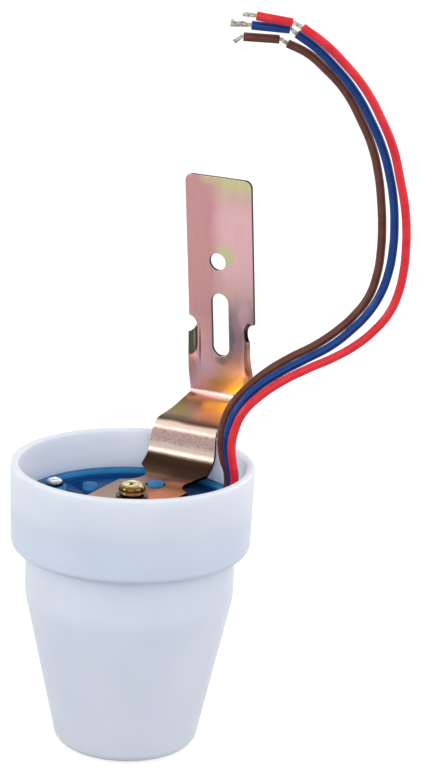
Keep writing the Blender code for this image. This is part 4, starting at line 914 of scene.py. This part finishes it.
# Three stripped leads leave the lid side by side, bow out past the bracket and end above it. They are single
# wires of 0.75 mm2, 2.4 mm across over the insulation, so they are stiff enough to stand as they were bent.
# A route's points are distances out along the lead's own upright plane, and heights.
LEAD_ROUTES = {
    "brown": (
        (0.0265, 0.0790), (0.0253, 0.0825), (0.0245, 0.0870), (0.0247, 0.0922), (0.0265, 0.0978),
        (0.0304, 0.1030), (0.0360, 0.1083), (0.0422, 0.1125), (0.0493, 0.1165), (0.0552, 0.1209),
        (0.0597, 0.1254), (0.0632, 0.1305), (0.0652, 0.1370), (0.0659, 0.1440), (0.0658, 0.1510),
        (0.0652, 0.1575), (0.0642, 0.1640), (0.0621, 0.1718), (0.0585, 0.1795), (0.0538, 0.1872),
        (0.0479, 0.1932), (0.0434, 0.1968), (0.0379, 0.1993),
    ),
    "blue": (
        (0.0274, 0.0795), (0.0266, 0.0830), (0.0260, 0.0880), (0.0265, 0.0935), (0.0288, 0.0988),
        (0.0332, 0.1042), (0.0392, 0.1087), (0.0463, 0.1129), (0.0534, 0.1171), (0.0588, 0.1218),
        (0.0629, 0.1264), (0.0660, 0.1317), (0.0680, 0.1380), (0.0689, 0.1450), (0.0689, 0.1515),
        (0.0683, 0.1580), (0.0671, 0.1640), (0.0647, 0.1719), (0.0609, 0.1799), (0.0560, 0.1878),
        (0.0498, 0.1947), (0.0453, 0.1988), (0.0401, 0.2023),
    ),
    "red": (
        (0.0282, 0.0800), (0.0276, 0.0835), (0.0271, 0.0880), (0.0278, 0.0930), (0.0300, 0.0982),
        (0.0344, 0.1030), (0.0402, 0.1073), (0.0470, 0.1111), (0.0542, 0.1146), (0.0602, 0.1184),
        (0.0650, 0.1228), (0.0686, 0.1276), (0.0707, 0.1330), (0.0719, 0.1400), (0.0721, 0.1460),
        (0.0718, 0.1525), (0.0710, 0.1580), (0.0695, 0.1644), (0.0673, 0.1725), (0.0636, 0.1806),
        (0.0588, 0.1886), (0.0530, 0.1952), (0.0472, 0.2005), (0.0414, 0.2044),
    ),
}
SLUG_ENDS = {
    "brown": ((0.0361, 0.2003), (0.0257, 0.2007)),
    "blue": ((0.0386, 0.2034), (0.0276, 0.2042)),
    "red": ((0.0391, 0.2055), (0.0287, 0.2071)),
}
STRAND_TIPS = {"brown": (0.0236, 0.1992), "blue": (0.0225, 0.2047), "red": (0.0255, 0.2074)}
SLUG_BORE = 0.0008
SLUG_INSET = 0.0004
STRAND_RADIUS = 0.00016
STRAND_COUNT = 9
STRAND_STEP = 0.0008
INNER_STRANDS = 3
INNER_RING = 0.00018
OUTER_RING = 0.00042
LAY_LENGTH = 0.009
BARE_LENGTH = 0.0172


# Soft PVC is extruded over the strands: a dyed colour with a soft gloss, faintly uneven over about 4 mm.
def soft_pvc_extruded(name, dark, light):
    material, tree, shader, place = new_finish(name)
    cloud = add_node(tree, "ShaderNodeTexNoise", {"Vector": place, "Scale": 1 / 0.004, "Detail": 2.0})
    tint = add_node(tree, "ShaderNodeValToRGB", {"Fac": cloud.outputs["Fac"]}, ((0.3, dark), (0.7, light)))
    skin = add_node(
        tree, "ShaderNodeBump", {"Height": cloud.outputs["Fac"], "Strength": 0.15, "Distance": 0.0003}
    )
    set_inputs(tree, shader, {
        "Base Color": tint.outputs["Color"], "Roughness": 0.22, "Specular IOR Level": 0.2,
        "Normal": skin.outputs["Normal"],
    })
    return material


# Tinned copper strands are a warm dull silver, darker where the tin is thin.
def tinned_copper_drawn():
    material, tree, shader, place = new_finish("tinned_copper_drawn")
    wear = add_node(tree, "ShaderNodeTexNoise", {"Vector": place, "Scale": 1 / 0.0008, "Detail": 2.0})
    tint = add_node(
        tree, "ShaderNodeValToRGB", {"Fac": wear.outputs["Fac"]}, ((0.35, "#8C8378"), (0.65, "#CFC8BC"))
    )
    set_inputs(tree, shader, {"Base Color": tint.outputs["Color"], "Metallic": 1.0, "Roughness": 0.35})
    return material


def round_wire(name, lines, radius, finish):
    """A round wire along each line of points, smooth through all of them."""
    curve = bpy.data.curves.new(name, 'CURVE')
    curve.dimensions = '3D'
    curve.bevel_depth = radius
    curve.bevel_resolution = 5
    curve.use_fill_caps = True
    curve.resolution_u = 8
    for line in lines:
        spline = curve.splines.new('BEZIER')
        spline.bezier_points.add(len(line) - 1)
        for knot, point in zip(spline.bezier_points, line):
            knot.co = point
            knot.handle_left_type = knot.handle_right_type = 'AUTO'
    curve.materials.append(finish)
    piece = bpy.data.objects.new(name, curve)
    bpy.context.collection.objects.link(piece)
    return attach(piece, "root")


def twisted_strands(points, spread):
    """Strands laid round a broken line, which open out by spread over the last fifth of the bared length."""
    lines = [[] for _ in range(STRAND_COUNT)]
    plane = radians(LEAD_PLANE_ANGLE)
    run = 0.0
    for start, end in zip(points, points[1:]):
        reach = (end - start).length
        axis = (end - start).normalized()
        side = axis.cross(Vector((sin(plane), -cos(plane), 0))).normalized()
        up = axis.cross(side)
        steps = max(2, round(reach / STRAND_STEP))
        for step in range(steps + (end == points[-1])):
            done = run + reach * step / steps
            opening = 1 + spread * max(0.0, done / BARE_LENGTH - 0.8) * 5
            for index, line in enumerate(lines):
                angle = 2 * pi * (index / STRAND_COUNT + done / LAY_LENGTH)
                ring = (INNER_RING if index < INNER_STRANDS else OUTER_RING) * opening
                middle = start.lerp(end, step / steps)
                line.append(middle + ring * (cos(angle) * side + sin(angle) * up))
        run += reach
    return lines


tinned_copper = tinned_copper_drawn()
INSULATION = {
    "brown": ("#5A3025", "#6E3F31"), "blue": ("#003278", "#064088"), "red": ("#D2222E", "#E2323C"),
}
LOOSENESS = {"brown": 0.1, "blue": 0.9, "red": 0.0}
for colour, route in LEAD_ROUTES.items():
    sleeve = soft_pvc_extruded(colour + "_pvc_extruded", *INSULATION[colour])
    root = LEAD_ROOTS[colour]
    upright = [(root, BOARD_TOP + BOARD_GAP), (root, 0.5 * (BOARD_TOP + LID_TOP)), (root, LID_TOP)]
    line = [lead_place(colour, *point) for point in upright + list(route)]
    lead = round_wire(colour + "_lead", [line], LEAD_RADIUS, sleeve)
    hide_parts("lead_" + colour)

    near, far = (lead_place(colour, *point) for point in SLUG_ENDS[colour])
    tip = lead_place(colour, *STRAND_TIPS[colour])
    start = line[-1] - (near - line[-1]).normalized() * 0.0006
    lines = twisted_strands([start, near, far, tip], LOOSENESS[colour])
    strands = round_wire(colour + "_strands", lines, STRAND_RADIUS, tinned_copper)
    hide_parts("strands_" + colour)

    length = (far - near).length - 2 * SLUG_INSET
    bm = bmesh.new()
    spin_profile(bm, (
        (SLUG_BORE, 0.0, 0.00005), (LEAD_RADIUS, 0.0, 0.00015),
        (LEAD_RADIUS, length, 0.00015), (SLUG_BORE, length, 0.00005),
    ), 48, closed=True)
    aim = (far - near).to_track_quat('Z', 'Y').to_matrix().to_4x4()
    offset = Matrix.Translation(near + SLUG_INSET * (far - near).normalized())
    bmesh.ops.transform(bm, matrix=offset @ aim, verts=bm.verts)
    slug = finished(colour + "_slug", bm, sleeve)
    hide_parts("slug_" + colour)


# A pale studio: a white floor that keeps the part's shadow, a white surround, a small lamp to the left of the
# camera and large soft ones in front, on the right and behind. All four point at the cup's upper body.
FLOOR_HALF = 4.0
FLOOR_DROP = 0.0002
FLOOR_GLOW = 0.73
SURROUND_STRENGTH = 0.86
LAMP_AIM = (0.0, 0.0, 0.08)
bm = bmesh.new()
bmesh.ops.create_grid(bm, x_segments=1, y_segments=1, size=FLOOR_HALF)
floor_mesh = bpy.data.meshes.new("floor")
bm.to_mesh(floor_mesh)
bm.free()
floor = bpy.data.objects.new("floor", floor_mesh)
floor.location.z = -FLOOR_DROP
bpy.context.collection.objects.link(floor)


def seen_directly(tree):
    """1 on rays from the camera or through gloss or glass, which then see plain white."""
    path = add_node(tree, "ShaderNodeLightPath", {})
    either = add_node(
        tree, "ShaderNodeMath", {0: path.outputs["Is Camera Ray"], 1: path.outputs["Is Glossy Ray"]},
        operation='MAXIMUM',
    )
    return add_node(
        tree, "ShaderNodeMath", {0: either.outputs["Value"], 1: path.outputs["Is Transmission Ray"]},
        operation='MAXIMUM',
    ).outputs["Value"]


# Matt white paper. It glows where it is seen directly, so that it comes out white all over and keeps only the
# shadow at the foot of the cup.
def white_floor_paper():
    material, tree, shader, _ = new_finish("white_floor_paper")
    lift = add_node(tree, "ShaderNodeMath", {0: seen_directly(tree), 1: FLOOR_GLOW}, operation='MULTIPLY')
    set_inputs(tree, shader, {
        "Base Color": linear("#AAABAD"), "Roughness": 0.9, "Specular IOR Level": 0.0,
        "Emission Color": (1.0, 1.0, 1.0, 1.0), "Emission Strength": lift.outputs["Value"],
    })
    return material


floor_mesh.materials.append(white_floor_paper())

world = bpy.data.worlds.new("studio")
world.use_nodes = True
bpy.context.scene.world = world
surround = add_node(
    world.node_tree, "ShaderNodeBackground", {"Color": linear("#F8F9FC"), "Strength": SURROUND_STRENGTH}
)
white = add_node(world.node_tree, "ShaderNodeBackground", {"Color": (1.0, 1.0, 1.0, 1.0), "Strength": 1.0})
choice = add_node(
    world.node_tree, "ShaderNodeMixShader",
    {0: seen_directly(world.node_tree), 1: surround.outputs["Background"], 2: white.outputs["Background"]},
)
world.node_tree.links.new(choice.outputs["Shader"], world.node_tree.nodes["World Output"].inputs["Surface"])


def soft_lamp(name, place, size, power):
    """A square lamp that faces the part."""
    lamp = bpy.data.lights.new(name, 'AREA')
    lamp.size = size
    lamp.energy = power
    holder = bpy.data.objects.new(name, lamp)
    holder.location = place
    holder.rotation_euler = (Vector(place) - Vector(LAMP_AIM)).to_track_quat('Z', 'Y').to_euler()
    bpy.context.collection.objects.link(holder)


soft_lamp("key_lamp", (-0.95, -1.00, 0.62), 0.35, 4.6)
soft_lamp("front_lamp", (0.45, -1.35, 0.55), 1.0, 4.8)
soft_lamp("right_lamp", (1.35, 0.15, 0.60), 1.0, 5.0)
soft_lamp("back_lamp", (0.40, 1.35, 0.75), 1.0, 5.7)


# The camera stands 0.73 m away, to the right of the bracket's front and 16 degrees above it, and is tipped by
# 2 degrees.
camera = bpy.data.cameras.new("camera")
camera.lens = 117.55
camera.sensor_width = 36.0
stand = bpy.data.objects.new("camera", camera)
stand.location = (0.33086, -0.58061, 0.29329)
stand.rotation_euler = (radians(74.225), radians(-2.084), radians(28.464))
bpy.context.collection.objects.link(stand)
bpy.context.scene.camera = stand

bpy.context.scene.view_settings.view_transform = 'Standard'
